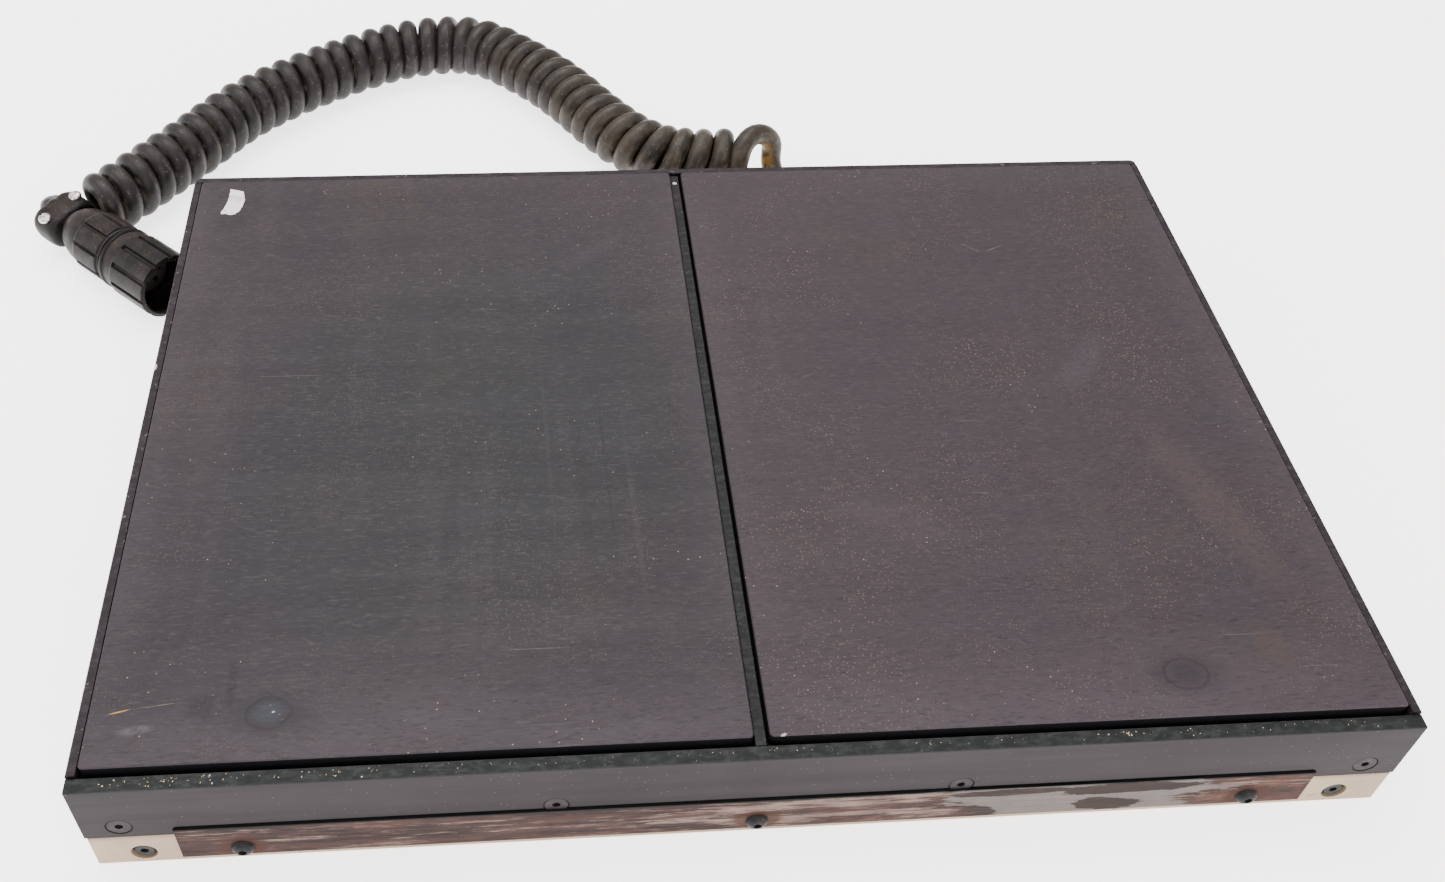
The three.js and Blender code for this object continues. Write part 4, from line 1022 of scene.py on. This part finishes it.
def add_clamp():
    """The two-lobed cable clamp: a soft block across the cable, with its screws at both ends."""

    def shape(along, radius, angle):
        if radius < 6:
            return radius
        power = 2.7
        tall = 8.6 if math.cos(angle) > 0 else 9.6
        wide = abs(math.sin(angle) / 12.6) ** power
        outline = (wide + abs(math.cos(angle) / tall) ** power) ** (-1 / power)
        across = outline * math.sin(angle)
        waist = 0.8 * math.exp(-(((abs(across) - 4) / 2) ** 2)) * abs(math.cos(angle)) ** 2
        return (outline - waist) * radius / 10

    edge = [(61.4, 8.0), (61.6, 8.8), (62.2, 9.4), (63.2, 9.8), (64.6, 10), (67, 10.1), (70, 10.12)]
    rear = [(73, 10.05), (74.6, 9.8), (75.6, 9.3), (76.2, 8.6), (76.4, 7.8)]
    rows = [(61.4, 5.3), *edge, *rear, (76.4, 5.3), (72, 5.3), (66, 5.3)]
    clamp = turned_piece("clamp_detail", rows, MATERIALS["plug_plastic"], shape, CLAMP_ROLL)
    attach(clamp, "housing")
    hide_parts("clamp_strap")


def add_clamp_screw(number, hand):
    """A round slotted head, with its shank inside the clamp."""
    sides, vertices = 64, []
    rings = [(1.5, -6), (1.5, -0.3), (2.7, -0.3), (2.85, 0), (2.85, 0.9), (2.6, 1.35)]
    rings += [(2.3, 1.6), (1.9, 1.8), (1.45, 1.92), (1.0, 2.0), (0.55, 2.02), (0.2, 2.03)]
    turn = 0.5 + 1.1 * number
    for radius, height in rings:
        for k in range(sides):
            angle = 2 * math.pi * k / sides
            u, v = radius * math.cos(angle), radius * math.sin(angle)
            off = abs(u * math.cos(turn) + v * math.sin(turn))
            slot = 0.75 * (1 - smooth_step((off - 0.35) / 0.2)) if height > 1.2 else 0
            across = hand * 8.8 + v
            level = 7.6 + height - slot
            rolled_across = across * math.cos(CLAMP_ROLL) + level * math.sin(CLAMP_ROLL)
            rolled_level = level * math.cos(CLAMP_ROLL) - across * math.sin(CLAMP_ROLL)
            place = beside_plug(CLAMP_MIDDLE + u, rolled_across, PLUG_HEIGHT + rolled_level)
            vertices.append(place)
    faces = grid_faces(len(rings), sides)
    faces.append(tuple(range(sides)))
    faces.append(tuple(range((len(rings) - 1) * sides, len(rings) * sides)))
    screw = add_mesh(f"clamp_screw_detail_{number}", vertices, faces, MATERIALS["bright_steel"])
    face_outward(screw)
    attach(screw, "housing")
    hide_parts(f"clamp_screw_{number}")


add_coupling_ring()
add_backshell()
add_clamp()
add_clamp_screw(1, -1)
add_clamp_screw(2, 1)
add_cord()

# ---------------------------------------------------------------- label remnant and crumbs

LABEL_OUTLINE = [
    (-198.3, 143.3),
    (-192.4, 141.1),
    (-191.2, 134.8),
    (-192.5, 128.1),
    (-194.6, 125.5),
    (-196.7, 124.8),
    (-198.7, 125.9),
    (-200.3, 125.4),
    (-200.7, 126.4),
    (-199, 132.3),
    (-198.4, 137.8),
]
PLATE_TOP = 47.4
LEDGE_TOP = 45.3


def add_label():
    outline = []
    for (x, y), (next_x, next_y) in zip(LABEL_OUTLINE, LABEL_OUTLINE[1:] + LABEL_OUTLINE[:1]):
        steps = 5
        for k in range(steps):
            share = k / steps
            torn = random.uniform(-0.16, 0.16)
            outline.append((x + (next_x - x) * share + torn, y + (next_y - y) * share - torn))
    middle = np.mean(outline, axis=0)
    count = len(outline)
    vertices, rings = [], (1.0, 0.7, 0.35)
    for share in rings:
        for x, y in outline:
            lift = 0.13 + 0.1 * random.random() * (share == 1.0)
            place = middle + (np.array((x, y)) - middle) * share
            vertices.append((place[0] * MM, place[1] * MM, (PLATE_TOP + lift) * MM))
    for x, y in outline:
        vertices.append((x * MM, y * MM, (PLATE_TOP + 0.02) * MM))
    faces = grid_faces(len(rings), count)
    faces.append(tuple(range((len(rings) - 1) * count, len(rings) * count)))
    under = len(rings) * count
    for k in range(count):
        following = (k + 1) % count
        faces.append((k, following, under + following, under + k))
    faces.append(tuple(range(under, under + count)))
    label = add_mesh("label_remnant", vertices, faces, paper_material(), smooth=False)
    face_outward(label)
    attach(label, "left_plate")


def add_crumbs():
    """Dirt on the front plate's ledge, thick near the left corner and thin elsewhere."""
    spots = [(random.gauss(-183, 11), random.uniform(0.25, 0.85)) for _ in range(28)]
    spots += [(random.gauss(-128, 7), random.uniform(0.3, 0.8)) for _ in range(9)]
    spots += [(random.gauss(114, 4), random.uniform(0.3, 0.75)) for _ in range(12)]
    spots += [(random.uniform(-205, 205), random.uniform(0.2, 0.5)) for _ in range(110)]
    vertices, faces = [], []
    for x, size in spots:
        x = min(max(x, -208), 208)
        y = random.triangular(-152.2, -148.6, -149.2)
        first = len(vertices)
        for dx, dy, dz in ((1, 0, 0), (0, 1, 0), (-1, 0, 0), (0, -1, 0), (0, 0, 1), (0, 0, -0.25)):
            jitter = [random.uniform(0.6, 1.25) * size / 2 for _ in range(3)]
            height = max(LEDGE_TOP + 0.02, LEDGE_TOP + 0.12 + dz * jitter[2])
            vertices.append(((x + dx * jitter[0]) * MM, (y + dy * jitter[1]) * MM, height * MM))
        for a, b in ((0, 1), (1, 2), (2, 3), (3, 0)):
            faces.append((first + a, first + b, first + 4))
            faces.append((first + b, first + a, first + 5))
    crumbs = add_mesh("ledge_crumbs", vertices, faces, crumb_material(), smooth=False)
    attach(crumbs, "housing")


add_label()
add_crumbs()

# ---------------------------------------------------------------- floor


def add_floor():
    half = 6.0
    corners = [(-half, -half, 0), (half, -half, 0), (half, half, 0), (-half, half, 0)]
    floor = add_mesh("floor", corners, [(0, 1, 2, 3)], floor_material(), smooth=False)
    floor.location.z = -0.0001


add_floor()
